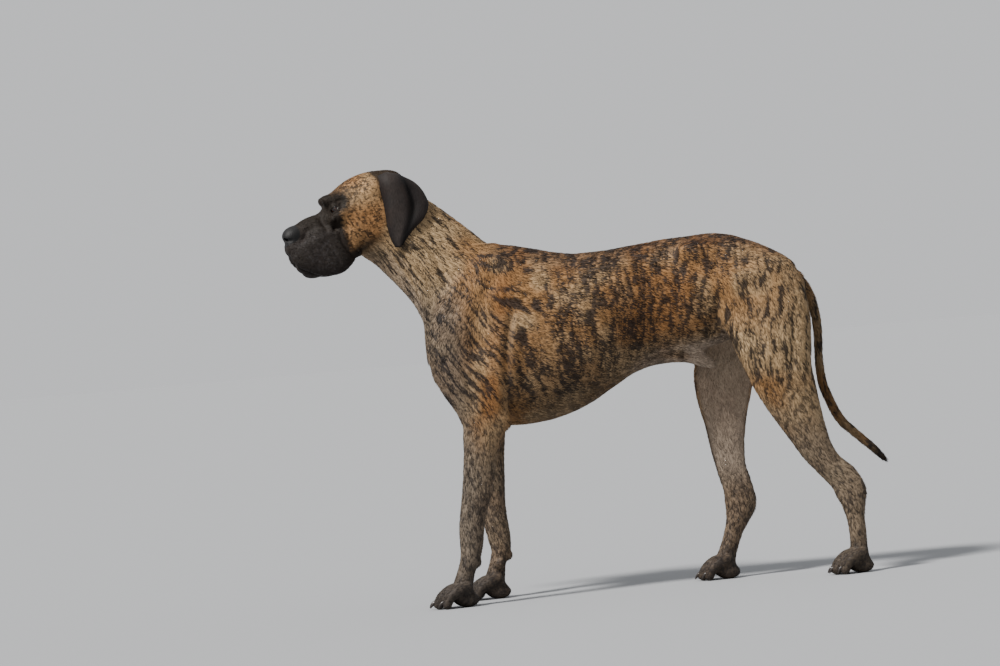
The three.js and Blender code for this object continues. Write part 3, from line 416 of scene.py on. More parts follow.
PAWS = {
    "fore_left": Paw((-341, -LEG_TRACK), 4, Side.LEFT, 1.04, 1.0),
    "fore_right": Paw((-264, LEG_TRACK), 6, Side.RIGHT, 1.04, 1.0),
    "hind_left": Paw((612, -92), 5, Side.LEFT, 0.94, 0.92),
    "hind_right": Paw((301, 92), 5, Side.RIGHT, 0.94, 0.92),
}


@dataclass
class Body:
    """All the forms of trunk, neck, legs and tail, from the body out."""

    trunk: tuple = (
        (-374, 662, 592, 34, 628), (-358, 738, 536, 72, 632), (-328, 796, 486, 98, 640),
        (-286, 834, 446, 112, 636), (-230, 854, BRISKET + 5, 120, 630), (-165, WITHERS, BRISKET, 126, 622),
        (-110, 848, BRISKET + 4, 130, 622), (-55, 834, 438, CHEST_HALF, 632), (0, 826, 459, CHEST_HALF, 646),
        (60, 827, 493, 124, 664), (115, 832, 524, 106, 682), (165, 837, 545, LOIN_HALF + 4, 696),
        (215, 842, 556, LOIN_HALF, 704), (265, 844, 562, LOIN_HALF + 4, 708), (320, 847, 575, 92, 716),
        (370, 840, 590, 92, 718), (420, 818, 612, 84, 716), (470, 787, 636, 70, 706),
        (512, 752, 660, 44, 700), (530, 730, 676, 20, 702),
    )
    neck: tuple = (
        (-466, -12, 953, 93, 55), (-422, -6, 916, 101, 60), (-366, -2, 862, 107, 67),
        (-318, 0, 810, 114, 80), (-276, 0, 756, 128, 94), (-236, 0, 706, 138, 100),
    )
    fore_left: tuple = (
        (-196, 66, 806, 40, 20), (-242, 88, 742, 60, 27), (-296, 98, 676, 68, 34), (-322, 96, 622, 60, 38),
        (-300, 101, 556, 66, 37), (-268, 102, 492, 62, 34), (-258, 102, 440, 56, 30),
        (-266, 100, 400, 48, 28),
        (-275, 100, 355, 41, 26), (-291, 98, 272, 36, 24), (-304, 97, 222, 32, 23), (-311, 96, 185, 31, 24),
        (-314, 96, 152, 29, 24), (-319, 96, 120, 25, 22), (-331, 96, 88, 22, 21), (-341, 96, 58, 24, 25),
    )
    fore_right: tuple = (
        (-190, 66, 806, 40, 20), (-234, 88, 742, 60, 27), (-284, 98, 676, 68, 34), (-308, 96, 622, 60, 38),
        (-288, 101, 556, 66, 37), (-264, 102, 492, 62, 34), (-258, 102, 440, 55, 30),
        (-257, 100, 400, 47, 28),
        (-257, 100, 355, 41, 26), (-257, 98, 285, 36, 24), (-256, 97, 230, 32, 23), (-253, 96, 190, 31, 24),
        (-248, 96, 152, 29, 24), (-246, 96, 120, 25, 22), (-256, 96, 88, 21, 21), (-264, 96, 58, 24, 25),
    )
    hind_left: tuple = (
        (418, 78, 724, 98, 44), (440, 90, 640, 104, 47), (452, 95, 560, 92, 46), (462, 96, 500, 78, 41),
        (482, 95, 435, 66, 35), (509, 93, 362, 50, 28), (534, 92, 302, 39, 23), (561, 92, 262, 34, 19),
        (592, 92, 228, 37, 19), (606, 92, 196, 38, 21), (610, 92, 163, 29, 20), (612, 92, 128, 22, 18),
        (614, 92, 84, 21, 18), (613, 92, 50, 23, 23),
    )
    hind_right: tuple = (
        (418, 78, 724, 98, 44), (400, 90, 648, 102, 47), (368, 95, 570, 92, 46), (338, 96, 500, 77, 42),
        (331, 96, 440, 66, 37), (330, 95, 383, 52, 30), (330, 94, 325, 43, 25), (336, 93, 265, 37, 20),
        (346, 92, 225, 37, 19), (350, 92, 184, 40, 21), (341, 92, 150, 31, 20), (330, 92, 122, 24, 18),
        (317, 92, 88, 22, 18), (304, 92, 54, 24, 23),
    )
    tail: tuple = (
        (478, 0, 752, 24, 24), (520, 0, 722, 20, 20), (549, 0, 684, 15, 15), (563, 0, 640, 12, 12),
        (567, 0, 586, 11, 11), (564, 0, 520, 10.5, 10.5), (567, 0, 466, 11.5, 11.5), (581, 0, 418, 12, 12),
        (604, 0, 368, 12, 12), (642, 0, 327, 11, 11), (680, 0, 289, 10, 10), (702, 0, 264, 7, 7),
    )

    def leg(self, name: str, side: Side, blend: float, zone: Zone) -> Tube:
        """One leg's tube, set on its side of the body."""
        s = np.array(getattr(self, name), dtype=float)
        s[:, 1] *= side.value
        return Tube(blend, zone, stations=s)

    def forms(self) -> list[Form]:
        """The forms in the order in which they melt together."""
        both = (-1, 1)
        made: list[Form] = [Trunk(1, Zone.TRUNK, sections=np.array(self.trunk))]
        made += [blob(Zone.TRUNK, (-338, s * 36, 600), (38, 40, 76), 30, 8) for s in both]
        made += [blob(Zone.TRUNK, (-262, s * 50, 466), (54, 42, 46), 34) for s in both]
        made += [blob(Zone.HIND, (390, s * 62, 742), (118, 48, 78), 46, 14) for s in both]
        made += [blob(Zone.TRUNK, (282, s * 74, 806), (34, 20, 20), 40, 10) for s in both]
        made += [blob(Zone.HIND, (505, s * 46, 690), (34, 26, 40), 40) for s in both]
        sheath = [(120, 0, 556, 14, 20), (190, 0, 563, 20, 22), (246, 0, 556, 19, 18), (282, 0, 541, 17, 15),
                  (303, 0, 531, 13, 12)]
        made.append(Tube(26, Zone.TRUNK, stations=np.array(sheath)))
        made.append(Tube(46, Zone.NECK, stations=np.array(self.neck)))
        for s in both:
            muscle = [(-440, s * 43 - 8, 928, 34, 20), (-384, s * 53 - 3, 846, 38, 22),
                      (-342, s * 54, 750, 42, 26), (-334, s * 36, 668, 34, 24)]
            made.append(Tube(40, Zone.NECK, stations=np.array(muscle)))
        for side in Side:
            s = side.value
            made.append(self.leg(f"fore_{side.word}", side, 26, Zone.FORE))
            made.append(blob(Zone.FORE, (-212, s * 104, 566), (46, 32, 108), 34, 10))
            made.append(blob(Zone.FORE, (-208, s * 106, 444), (15, 14, 24), 16, -10))
        for side in Side:
            made.append(self.leg(f"hind_{side.word}", side, 40, Zone.HIND))
        for s, x in ((-1, -326), (1, -250)):
            made.append(blob(Zone.PAW, (x + 22, s * (LEG_TRACK - 2), 104), (11, 10, 13), 6, 20))
            made.append(blob(Zone.PAW, (x - 2, s * (LEG_TRACK - 21), 86), (10, 7, 14), 8, 30))
        for paw in PAWS.values():
            made += paw.forms()
        made.append(Tube(14, Zone.TAIL, stations=np.array(self.tail)))
        return made


@dataclass
class Head:
    """The forms of the skull, muzzle, hanging lips and lower jaw, in the head's frame."""

    def forms(self) -> list[Form]:
        """Skull, cheeks, brows and the upper lips, in the order in which they melt."""
        both = (1, -1)
        made: list[Form] = [head_blob((-72, 0, -6), (102, 60, 58), 1)]
        made += [head_blob((-58, -s * 47, -50), (58, 26, 50), 30, 20) for s in both]
        made += [head_blob((-6, -s * 46, -16), (36, 15, 13), 22, 8) for s in both]
        made += [head_blob((3, -s * 28, 22), (25, 18, 15), 22, -28) for s in both]
        made.append(head_blob((-68, 0, -94), (68, 40, 49), 40, -10))
        made.append(head_blob((-152, 0, -2), (28, 26, 22), 30))
        made += [head_blob((-112, -s * 52, 8), (28, 16, 20), 22) for s in both]
        bones = [(0, 0, -34, 36, 44), (36, 0, -30, 37, 33), (84, 0, -26, 37, 29), (113, 0, -34, 34, 26),
                 (126, 0, -43, 26, 23)]
        made.append(head_tube(bones, 24))
        for s in both:
            lip = [(133, s * 12, -44, 20, 19), (121, s * 21, -60, 38, 20), (99, s * 28, -72, 51, 21),
                   (74, s * 32, -81, 60, 20), (47, s * 34, -87, 58, 19), (21, s * 36, -85, 47, 18),
                   (2, s * 38, -78, 33, 15)]
            made.append(head_tube(lip, 14))
            made.append(head_blob((58, s * 40, -110), (36, 13, 33), 14, 14))
        return made

    def jaw(self) -> Tube:
        """The lower jaw between the lips."""
        stations = [(-20, 0, -100, 30, 34), (40, 0, -104, 28, 26), (84, 0, -104, 31, 27),
                    (112, 0, -98, 33, 28), (124, 0, -88, 26, 24)]
        return head_tube(stations, 10)


# The skin


class UnevenGrid:
    """A box grid of a field's values, whose cells need not all be of one size."""

    def __init__(self, axes: list[np.ndarray]) -> None:
        """Fills the grid with a value far from every form.

        Args:
            axes: where the grid's planes lie along X, Y and Z.
        """
        self.axes = axes
        self.shape = tuple(len(a) for a in axes)
        self.values = np.full(self.shape, FAR, dtype=np.float32)

    @classmethod
    def round_the_dog(cls, scale: float) -> "UnevenGrid":
        """A grid round the whole dog, finer at the head, eyes and paws.

        Args:
            scale: how much coarser than the final skin the cells are.

        Returns:
            The grid.
        """
        along = [(-722, 2.1), (-606, 1.5), (-552, 2.1), (-430, 4.0), (722, 0)]
        across = [(-150, 3.0), (-100, 2.0), (24, 3.0), (150, 0)]
        up = [(-4, 2.2), (66, 4.2), (796, 2.1), (962, 1.5), (1000, 2.1), (1084, 0)]
        return cls([cls.spread(runs, scale) for runs in (along, across, up)])

    @staticmethod
    def spread(runs: list, scale: float) -> np.ndarray:
        """Positions from each run's start, at its scaled step, up to the last start."""
        line = [np.arange(a, b, step * scale) for (a, step), (b, _) in zip(runs[:-1], runs[1:])]
        merged = np.concatenate(line)
        keep = np.concatenate([[True], np.diff(merged) > 0.6])
        return merged[keep].astype(np.float32)

    def block(self, low: np.ndarray, high: np.ndarray) -> tuple:
        """The slices of the grid that a box covers."""
        cuts = []
        for axis, a, b in zip(self.axes, low, high):
            cuts.append(slice(int(np.searchsorted(axis, a)), int(np.searchsorted(axis, b))))
        return tuple(cuts)

    def coordinates(self, block: tuple) -> tuple:
        """X, Y and Z of a block's points."""
        x, y, z = (axis[cut] for axis, cut in zip(self.axes, block))
        return np.meshgrid(x, y, z, indexing="ij")

    def melt(self, form: Form) -> None:
        """Melts a form into the field."""
        margin = form.blend + 10.0
        block = self.block(form.low - margin, form.high + margin)
        part = self.values[block]
        if part.size == 0:
            return
        d = form.distance(*self.coordinates(block)).astype(np.float32)
        self.values[block] = soft_min(part, d, form.blend)

    def surface(self, level: float) -> tuple[np.ndarray, np.ndarray]:
        """The surface on which the field has some value.

        Args:
            level: the field's value there.

        Returns:
            Points in millimetres and quads of point numbers.
        """
        v = self.values - level
        inside = v < 0
        count = np.zeros(tuple(n - 1 for n in self.shape), dtype=np.int8)
        nx, ny, nz = count.shape
        for i in (0, 1):
            for j in (0, 1):
                for k in (0, 1):
                    count += inside[i:i + nx, j:j + ny, k:k + nz]
        cells = np.argwhere((count > 0) & (count < 8))
        number = np.full(count.shape, -1, dtype=np.int32)
        number[tuple(cells.T)] = np.arange(len(cells))
        total = np.zeros((len(cells), 3))
        hits = np.zeros(len(cells))
        for axis in range(3):
            for p in (0, 1):
                for q in (0, 1):
                    start = np.zeros(3, dtype=int)
                    start[(axis + 1) % 3], start[(axis + 2) % 3] = p, q
                    end = start.copy()
                    end[axis] = 1
                    a = v[tuple((cells + start).T)]
                    b = v[tuple((cells + end).T)]
                    cut = (a < 0) != (b < 0)
                    t = np.where(cut, a / np.where(cut, a - b, 1), 0)
                    point = start + t[:, None] * (end - start)
                    total += np.where(cut[:, None], point, 0)
                    hits += cut
        local = total / hits[:, None]
        points = np.empty_like(local)
        for c in range(3):
            axis = self.axes[c].astype(float)
            points[:, c] = axis[cells[:, c]] + local[:, c] * (axis[cells[:, c] + 1] - axis[cells[:, c]])
        quads = []
        for axis in range(3):
            u, w = (axis + 1) % 3, (axis + 2) % 3
            near = [slice(1, -1)] * 3
            near[axis] = slice(0, -1)
            far = list(near)
            far[axis] = slice(1, None)
            a, b = inside[tuple(near)], inside[tuple(far)]
            where = np.argwhere(a != b)
            out = a[tuple(where.T)]
            base = where + np.array([0 if c == axis else 1 for c in range(3)])
            ring = []
            for du, dw in ((1, 1), (0, 1), (0, 0), (1, 0)):
                cell = base.copy()
                cell[:, u] -= du
                cell[:, w] -= dw
                ring.append(number[tuple(cell.T)])
            quad = np.stack(ring, axis=1)
            quad[~out] = quad[~out][:, ::-1]
            quads.append(quad)
        return points, np.concatenate(quads)


def relax(points: np.ndarray, quads: np.ndarray, rounds: int, share: float) -> np.ndarray:
    """Evens out a mesh by moving each point towards its neighbours' mean, and back, so it keeps its size."""
    pairs = np.concatenate([quads[:, [i, (i + 1) % 4]] for i in range(4)])
    pairs = np.concatenate([pairs, pairs[:, ::-1]])
    degree = np.bincount(pairs[:, 0], minlength=len(points)).clip(1)
    p = points.copy()
    for i in range(rounds * 2):
        mean = np.stack(
            [np.bincount(pairs[:, 0], weights=p[pairs[:, 1], c], minlength=len(p)) for c in range(3)], axis=1
        ) / degree[:, None]
        p += (share if i % 2 == 0 else -share * 1.03) * (mean - p)
    return p


def point_normals(points: np.ndarray, quads: np.ndarray) -> np.ndarray:
    """Outward normals at the points of a mesh of quads."""
    a, b, c, d = (points[quads[:, i]] for i in range(4))
    face = np.cross(c - a, d - b)
    total = np.zeros_like(points)
    for i in range(4):
        for axis in range(3):
            total[:, axis] += np.bincount(quads[:, i], weights=face[:, axis], minlength=len(points))
    return unit(total)


@dataclass
class Flesh:
    """The skin's points in millimetres, with what the coat needs to know at each of them."""

    points: np.ndarray
    quads: np.ndarray
    normals: np.ndarray
    lie: np.ndarray
    share: np.ndarray


def gaze(side: float) -> tuple[np.ndarray, np.ndarray, np.ndarray]:
    """The way an eye looks, and the level and rising directions across it, in the head's frame."""
    look = unit(np.array([0.62, side * 0.76, 0.1]))
    level = unit(np.array([0.76, -side * 0.62, -0.22]))
    rise = unit(np.cross(look, level))
    return look, level, rise if rise[2] > 0 else -rise


# Soft grooves of the body by side view: upper end, lower end, depth, half width and bow
BODY_CREASES = (
    ((-168, 700), (-196, 450), 7.5, 12.0, -10.0),
    ((-250, 812), (-330, 690), 5.0, 17.0, 6.0),
    ((-196, 800), (-262, 660), 6.0, 18.0, -8.0),
    ((-372, 900), (-318, 760), 4.0, 9.0, 8.0),
    ((-410, 880), (-356, 730), 4.2, 8.0, 10.0),
    ((-440, 860), (-384, 740), 3.6, 7.0, 9.0),
    ((330, 700), (300, 600), 6.0, 15.0, 8.0),
    ((400, 720), (430, 560), 4.6, 18.0, -8.0),
    ((500, 640), (486, 500), 4.8, 12.0, 4.0),
    ((-300, 580), (-282, 470), 4.4, 9.0, 4.0),
    ((-30, 640), (60, 560), 3.0, 22.0, 8.0),
    ((60, 650), (200, 640), 3.0, 20.0, -6.0),
)

# Creases of the head by side view: both ends as forwards and up, depth, half width and bow
HEAD_CREASES = (
    (16, -16, 34, -50, 2.6, 4.0, 3),
    (-2, -22, -12, -62, 2.0, 4.5, -4),
    (24, -58, 8, -132, 3.6, 5.5, -7),
    (6, -66, -8, -134, 2.8, 4.5, -6),
    (70, -50, 52, -122, 2.0, 6.0, 4),
    (-30, -92, 4, -142, 2.4, 5.0, 4),
    (-24, -8, -56, 16, 1.8, 3.6, 3),
    (-2, 16, -34, 2, 1.8, 4.0, 3),
    (46, 0, 46, -42, 3.4, 7.0, 0),
    (-44, -40, -66, -58, 1.6, 3.5, 2),
    (112, -34, 60, -44, 1.8, 6.0, 5),
)
LIP_WRINKLES = 16


class SkinBuilder:
    """Builds the flesh of the whole dog with its folds, lids and lips."""

    def __init__(self, quick: bool) -> None:
        """Sets the fineness.

        Args:
            quick: whether a coarser skin will do.
        """
        self.grid = UnevenGrid.round_the_dog(GRID_QUICK if quick else 1.0)
        self.body = Body()
        self.head = Head()
        self.forms: list[Form] = []

    def head_points(self, low: tuple, high: tuple) -> tuple:
        """A block of the grid and its points in the head's frame."""
        block = self.grid.block(np.array(low), np.array(high))
        x, y, z = self.grid.coordinates(block)
        p = to_head(np.stack([x, y, z], axis=-1))
        return block, p[..., 0], p[..., 1], p[..., 2]

    def mouth(self) -> None:
        """Adds the lower jaw, with the line of the mouth between it and the lips."""
        block, f, _, _ = self.head_points((-725, -140, 790), (-520, 70, 940))
        jaw = self.head.jaw().distance(*self.grid.coordinates(block)).astype(np.float32)
        upper = self.grid.values[block]
        both = np.minimum(upper, jaw)
        slit = np.maximum(np.abs(upper - jaw) - 2.8, -(both + 12.0))
        forward = smooth(0.0, 14.0, f)
        slit = slit + (1 - forward) * 12.0
        self.grid.values[block] = np.maximum(both, -slit)

    def nostrils(self) -> None:
        """Opens the skin behind the nostrils."""
        block = self.grid.block(np.array([-725, -110, 890]), np.array([-660, -10, 960]))
        for hole in Nose.holes():
            d = hole.distance(*self.grid.coordinates(block)).astype(np.float32)
            self.grid.values[block] = np.maximum(self.grid.values[block], -d - COAT_DEPTH + 1.0)

    def eyes(self) -> None:
        """Sets each eye into its socket, under lids with an almond opening."""
        for side in BOTH:
            centre = eye_centre(side)
            middle = from_head([centre])[0]
            block, f, s, u = self.head_points(tuple(middle - 34), tuple(middle + 34))
            look, level, rise = gaze(side)
            df, ds, du = f - centre[0], s - centre[1], u - centre[2]
            along = df * look[0] + ds * look[1] + du * look[2]
            wide = df * level[0] + ds * level[1] + du * level[2]
            high = df * rise[0] + ds * rise[1] + du * rise[2]
            radius = np.sqrt(df**2 + ds**2 + du**2)
            flesh = self.grid.values[block]
            lid = radius - (EYE_RADIUS + 2.4 + COAT_DEPTH)
            flesh = soft_min(flesh, lid, 7.0)
            ball = EYE_RADIUS + 0.1 - COAT_DEPTH - radius
            flesh = np.where(along > -4, np.maximum(flesh, ball), flesh)
            droop = high + 0.035 * wide**2 * np.sign(-high) * 0.4
            half = np.where(high > 0, *LID_HALVES)
            opening = np.sqrt((wide / LID_WIDE) ** 2 + (droop / half) ** 2) - 1.0
            cut = np.where(along > 2, -opening * 4.0 - COAT_DEPTH, -9.0)
            self.grid.values[block] = np.maximum(flesh, cut).astype(np.float32)

    def folds(self) -> None:
        """Presses creases into the head's skin: under the eye, behind the lips, on the cheek and brow."""
        block, f, s, u = self.head_points((-725, -150, 800), (-400, 110, 1080))
        a = np.abs(s)
        press = np.zeros_like(f)

        def crease(
            f0: float, u0: float, f1: float, u1: float, depth: float, width: float, bow: float
        ) -> None:
            """Adds one crease along a bowed line of the side view."""
            df, du = f1 - f0, u1 - u0
            length = math.hypot(df, du)
            t = ((f - f0) * df + (u - u0) * du) / length**2
            off = ((f - f0) * du - (u - u0) * df) / length - bow * (1 - (2 * t - 1) ** 2)
            ends = smooth(-0.1, 0.15, t) * smooth(1.1, 0.85, t)
            press[...] += depth * ends * ridge(off, width) * smooth(14, 24, a)

        for line in HEAD_CREASES:
            crease(*line)
        rng = np.random.default_rng(5)
        for _ in range(LIP_WRINKLES):
            f0, u0 = rng.uniform(30, 112), rng.uniform(-112, -44)
            crease(f0, u0, f0 - rng.uniform(8, 22), u0 - rng.uniform(10, 26), rng.uniform(0.5, 1.0), 2.4, 0.0)
        press += 2.2 * ridge(s, 4.5) * smooth(46, 20, f) * smooth(-60, -10, f) * smooth(10, 30, u)
        press += 1.6 * ridge(s, 2.0) * smooth(118, 130, f) * smooth(-30, -38, u)
        self.grid.values[block] += press.astype(np.float32)

    def hollows(self) -> None:
        """Presses soft hollows and lifts low ridges where tendon, bone and muscle show."""
        block = self.grid.block(np.array([-300, -150, 440]), np.array([240, 150, 760]))
        x, y, z = self.grid.coordinates(block)
        slant = x - 0.22 * (700 - z)
        ribs = np.sin(slant * 2 * math.pi / 38.0)
        where = smooth(-150, -90, x) * smooth(150, 90, x) * smooth(470, 540, z) * smooth(720, 640, z)
        self.grid.values[block] += (0.55 * ribs * where * smooth(60, 90, np.abs(y))).astype(np.float32)
        for line in BODY_CREASES:
            self.groove(*line)

    def groove(self, start: tuple, end: tuple, depth: float, width: float, bow: float) -> None:
        """Presses a soft groove into both sides of the body.

        Args:
            start: X and Z of its upper end.
            end: X and Z of its lower end.
            depth: how deep it is.
            width: half its width.
            bow: how far it bends to the rear.
        """
        a, b = np.array(start, dtype=float), np.array(end, dtype=float)
        low = np.minimum(a, b) - 3 * width - abs(bow)
        high = np.maximum(a, b) + 3 * width + abs(bow)
        block = self.grid.block(np.array([low[0], -150, low[1]]), np.array([high[0], 150, high[1]]))
        x, y, z = self.grid.coordinates(block)
        run = b - a
        t = ((x - a[0]) * run[0] + (z - a[1]) * run[1]) / (run @ run)
        off = ((x - a[0]) * run[1] - (z - a[1]) * run[0]) / np.linalg.norm(run) + bow * (1 - (2 * t - 1) ** 2)
        ends = smooth(-0.1, 0.2, t) * smooth(1.1, 0.8, t)
        press = depth * ridge(off, width) * ends * smooth(20, 45, np.abs(y))
        self.grid.values[block] += press.astype(np.float32)

    def build(self) -> tuple[np.ndarray, np.ndarray]:
        """Melts all the forms and takes the surface.

        Returns:
            The skin's points in millimetres and its quads.
        """
        self.forms = self.body.forms() + self.head.forms()
        for form in self.forms + Nose.forms():
            self.grid.melt(form)
        self.nostrils()
        self.mouth()
        self.folds()
        self.hollows()
        self.eyes()
        points, quads = self.grid.surface(-COAT_DEPTH)
        points = relax(points, quads, 2, 0.5)
        low = points[:, 2] < SKIN_FLOOR
        points[low, 2] = SKIN_FLOOR
        return points, quads

    def survey(self, points: np.ndarray) -> tuple[np.ndarray, np.ndarray]:
        """How the coat lies at points and how much each zone counts there."""
        share = np.full((len(points), len(Zone)), 1e-6)
        lie = np.zeros_like(points)
        for form in self.forms:
            near = np.all((points > form.low - 45) & (points < form.high + 45), axis=1)
            if not near.any():
                continue
            p = points[near].astype(np.float32)
            d = form.distance(p[:, 0], p[:, 1], p[:, 2])
            w = np.exp(-np.maximum(d, 0) / 9.0)
            share[near, form.zone.value] += w
            lie[near] += w[:, None] * self.flow(form, p)
        return share / share.sum(axis=1, keepdims=True), unit(lie)

    def flow(self, form: Form, p: np.ndarray) -> np.ndarray:
        """The way that a form's coat lies at points."""
        if form.zone is Zone.HEAD:
            return np.tile(-HEAD_AXES[:, 0] - 0.25 * HEAD_AXES[:, 2], (len(p), 1))
        if form.zone is Zone.PAW:
            return np.tile(np.array([-0.75, 0.0, -0.5]), (len(p), 1))
        if isinstance(form, Tube):
            ring, _ = form.nearest(p[:, 0], p[:, 1], p[:, 2])
            along = form.rings[ring, 3:6]
            return along + np.array([0.25, 0.0, -0.2])
        return np.tile(np.array([0.9, 0.0, -0.38]), (len(p), 1))


# Markings


@dataclass(frozen=True)
class Markings:
    """The brindle: golden ground, dark streaks, black mask, grey legs and pale underline."""

    gold: tuple = (148, 110, 70)
    cream: tuple = (176, 150, 114)
    rust: tuple = (96, 62, 40)
    streak: tuple = (27, 25, 27)
    grey: tuple = (108, 98, 86)
    ribs: tuple = (134, 114, 88)
    orange: tuple = (142, 92, 48)
    black: tuple = (9, 8, 8)
    belly: tuple = (176, 158, 140)
    foot: tuple = (38, 33, 31)
    tan: tuple = (146, 98, 54)
    fawn: tuple = (176, 144, 104)
    grizzle: tuple = (70, 68, 70)
    ear: tuple = (26, 21, 20)
    ear_warm: tuple = (52, 38, 30)
    # Painted highlight colour for the ear's front flap and rear rim
    ear_sheen: tuple = (74, 66, 62)

    def paint(self, p: np.ndarray, n: np.ndarray, share: np.ndarray) -> np.ndarray:
        """The coat's colour at points.

        Args:
            p: points in millimetres.
            n: outward normals.
            share: how much each zone counts at each point.

        Returns:
            Linear colours, one a row.
        """
        x, y, z = p.T
        h = to_head(p)
        wide, fine, hair = Grain(3), Grain(11), Grain(23)
        head = share[:, Zone.HEAD.value]
        limb = share[:, Zone.FORE.value] + share[:, Zone.HIND.value] + share[:, Zone.PAW.value]
        neck = share[:, Zone.NECK.value]
        tail = share[:, Zone.TAIL.value]
        warp = (wide.at(p / 60.0) - 0.5) * 26
        lean = np.where(x < -90, 0.75 * smooth(-60, -250, x) * (z - 560), -0.16 * (z - 640)) + warp
        across = x + lean
        bands = wide.at(np.column_stack([across / 7.0, y / 34.0, z / 40.0]))
        thin = fine.at(np.column_stack([(x + 0.8 * lean) / 3.1, y / 12.0, z / 24.0]))
        legs = fine.at(np.column_stack([x / 3.4, y / 3.4, z / 6.5]))
        tick = hair.at(np.column_stack([x / 1.8, y / 1.8, z / 3.8]))
        pattern = 0.42 * bands + 0.58 * thin
        low_limb = limb * smooth(520, 400, z)
        pattern = pattern * (1 - low_limb * 0.65) + legs * low_limb * 0.65
        pattern += 0.34 * (tick - 0.5)
        amount = 0.463 + 0.08 * (wide.at(p / 90.0 + 7) - 0.5)
        amount = amount + 0.045 * neck + 0.06 * smooth(350, 520, x) + 0.04 * smooth(-120, -240, x)
        amount = amount - 0.05 * smooth(770, 830, z) * (1 - neck) - 0.03 * smooth(190, 60, np.abs(x - 90))
        dark = smooth(amount - 0.03, amount + 0.10, pattern)
        cream, grey, orange = colour(*self.cream), colour(*self.grey), colour(*self.orange)
        belly, streak = colour(*self.belly), colour(*self.streak)
        base = np.tile(colour(*self.gold), (len(p), 1))
        blotch = wide.at(p / 48.0 + 3)
        wash(base, cream, 0.6 * smooth(0.35, 0.75, blotch))
        loin = smooth(40, 90, x) * smooth(330, 230, x) * smooth(560, 640, z) * smooth(800, 730, z)
        wash(base, orange, 0.4 * loin)
        wash(base, cream, 0.75 * neck * smooth(-250, -330, x))
        wash(base, cream, 0.6 * smooth(430, 500, x) * (1 - tail))
        wash(base, cream, 0.7 * smooth(250, 330, x) * smooth(700, 560, z) * smooth(470, 520, z))
        wash(base, grey, 0.8 * smooth(-250, -320, x) * smooth(820, 700, z) * (1 - head))
        strap = ridge(x + 238 - 0.2 * (z - 500), 24) * smooth(410, 470, z) * smooth(820, 760, z)
        wash(base, orange, 0.5 * strap)
        ribs = smooth(680, 480, z) * smooth(-190, -120, x) * smooth(220, 100, x)
        wash(base, colour(*self.ribs), 0.6 * ribs)
        wash(base, grey, 0.75 * limb * smooth(470, 300, z))
        ridge_line = smooth(0.3, 0.9, n[:, 2]) * smooth(740, 800, z) * (1 - head) * (1 - neck)
        wash(base, colour(*self.rust), 0.65 * ridge_line)
        wash(base, belly, 0.8 * smooth(-0.45, -0.85, n[:, 2]) * smooth(60, 160, x) * (1 - limb))
        sheath = smooth(225, 255, x) * smooth(350, 330, x) * smooth(590, 560, z)
        sheath = sheath * smooth(52, 40, np.abs(y))
        wash(base, belly, 0.9 * sheath)
        inner = smooth(0.35, 0.8, -np.sign(y) * n[:, 1]) * share[:, Zone.HIND.value]
        wash(base, belly, 0.75 * inner * smooth(200, 300, z))
        wash(base, belly, 0.5 * neck * smooth(-0.5, -0.9, n[:, 2] + 0.6 * n[:, 0]))
        calm = 1 - 0.8 * inner * smooth(200, 300, z)
        calm = calm * (1 - 0.35 * smooth(-0.45, -0.85, n[:, 2])) * (1 - 0.85 * sheath)
        calm = calm * (1 - 0.2 * low_limb)
        wash(base, streak, 0.88 * dark * calm * (1 - 0.5 * head))
        wash(base, streak, 0.30 * smooth(0.55, 0.8, tick) * (1 - head) * calm)
        # Painted shade: a dark line down the crease behind the shoulder.
        shoulder_crease_shade = ridge(x + 184 - 0.1 * (z - 575), 8) * smooth(440, 490, z) * smooth(720, 640, z)
        wash(base, streak, 0.4 * shoulder_crease_shade)
        foot = smooth(120, 40, z)
        wash(base, colour(*self.foot), 0.8 * foot + 0.3 * foot * (tick - 0.5))
        tip = smooth(640, 690, x) * tail
        wash(base, colour(*self.black), 0.35 * tail + 0.6 * tip)
        self.face(base, h, head, blotch)
        return base * (0.70 + 0.19 * tick)[:, None]

    def face(self, base: np.ndarray, h: np.ndarray, head: np.ndarray, blotch: np.ndarray) -> None:
        """Lays the black mask over muzzle, lips and eyes, and tan over forehead and cheek; the black under
        the jaw and on the throat is partly painted shadow.

        Args:
            base: the colours so far, changed in place.
            h: the points in the head's frame.
            head: how much the head counts at each point.
            blotch: slow noise, 0 to 1.
        """
        f, s, u = h.T
        on = smooth(0.4, 0.75, head)
        tan, fawn = colour(*self.tan), colour(*self.fawn)
        wash(base, tan + (fawn - tan) * blotch[:, None], 0.85 * on)
        brow = smooth(-10, 25, u) * smooth(-110, -30, f)
        streaks = Grain(31).at(np.column_stack([f / 3.6, s / 3.6, u / 11.0]))
        fine = Grain(37).at(np.column_stack([f / 2.4, s / 2.4, u / 3.2]))
        streaks_and_shade = smooth(0.50, 0.62, 0.5 * streaks + 0.5 * fine + 0.14 * brow) * on * 0.85
        streaks_and_shade = np.maximum(streaks_and_shade, smooth(-104, -116, f) * smooth(-10, 6, u) * on * 0.95)
        # Partly painted shadow, partly dark coat: a dark band under the jaw and down the throat.
        streaks_and_shade = np.maximum(streaks_and_shade, smooth(-96, -130, f - 0.4 * u) * smooth(-20, -60, u) * on * 0.7)
        eye = np.exp(-(((f + 5) / 34) ** 2 + ((u - 13) / 32) ** 2) * 1.1)
        edge = 14 * (blotch - 0.5) + 12 * (fine - 0.5)
        muzzle = smooth(-8, 12, f + edge + 0.10 * (u + 40)) * smooth(62, 40, u + 0.4 * edge)
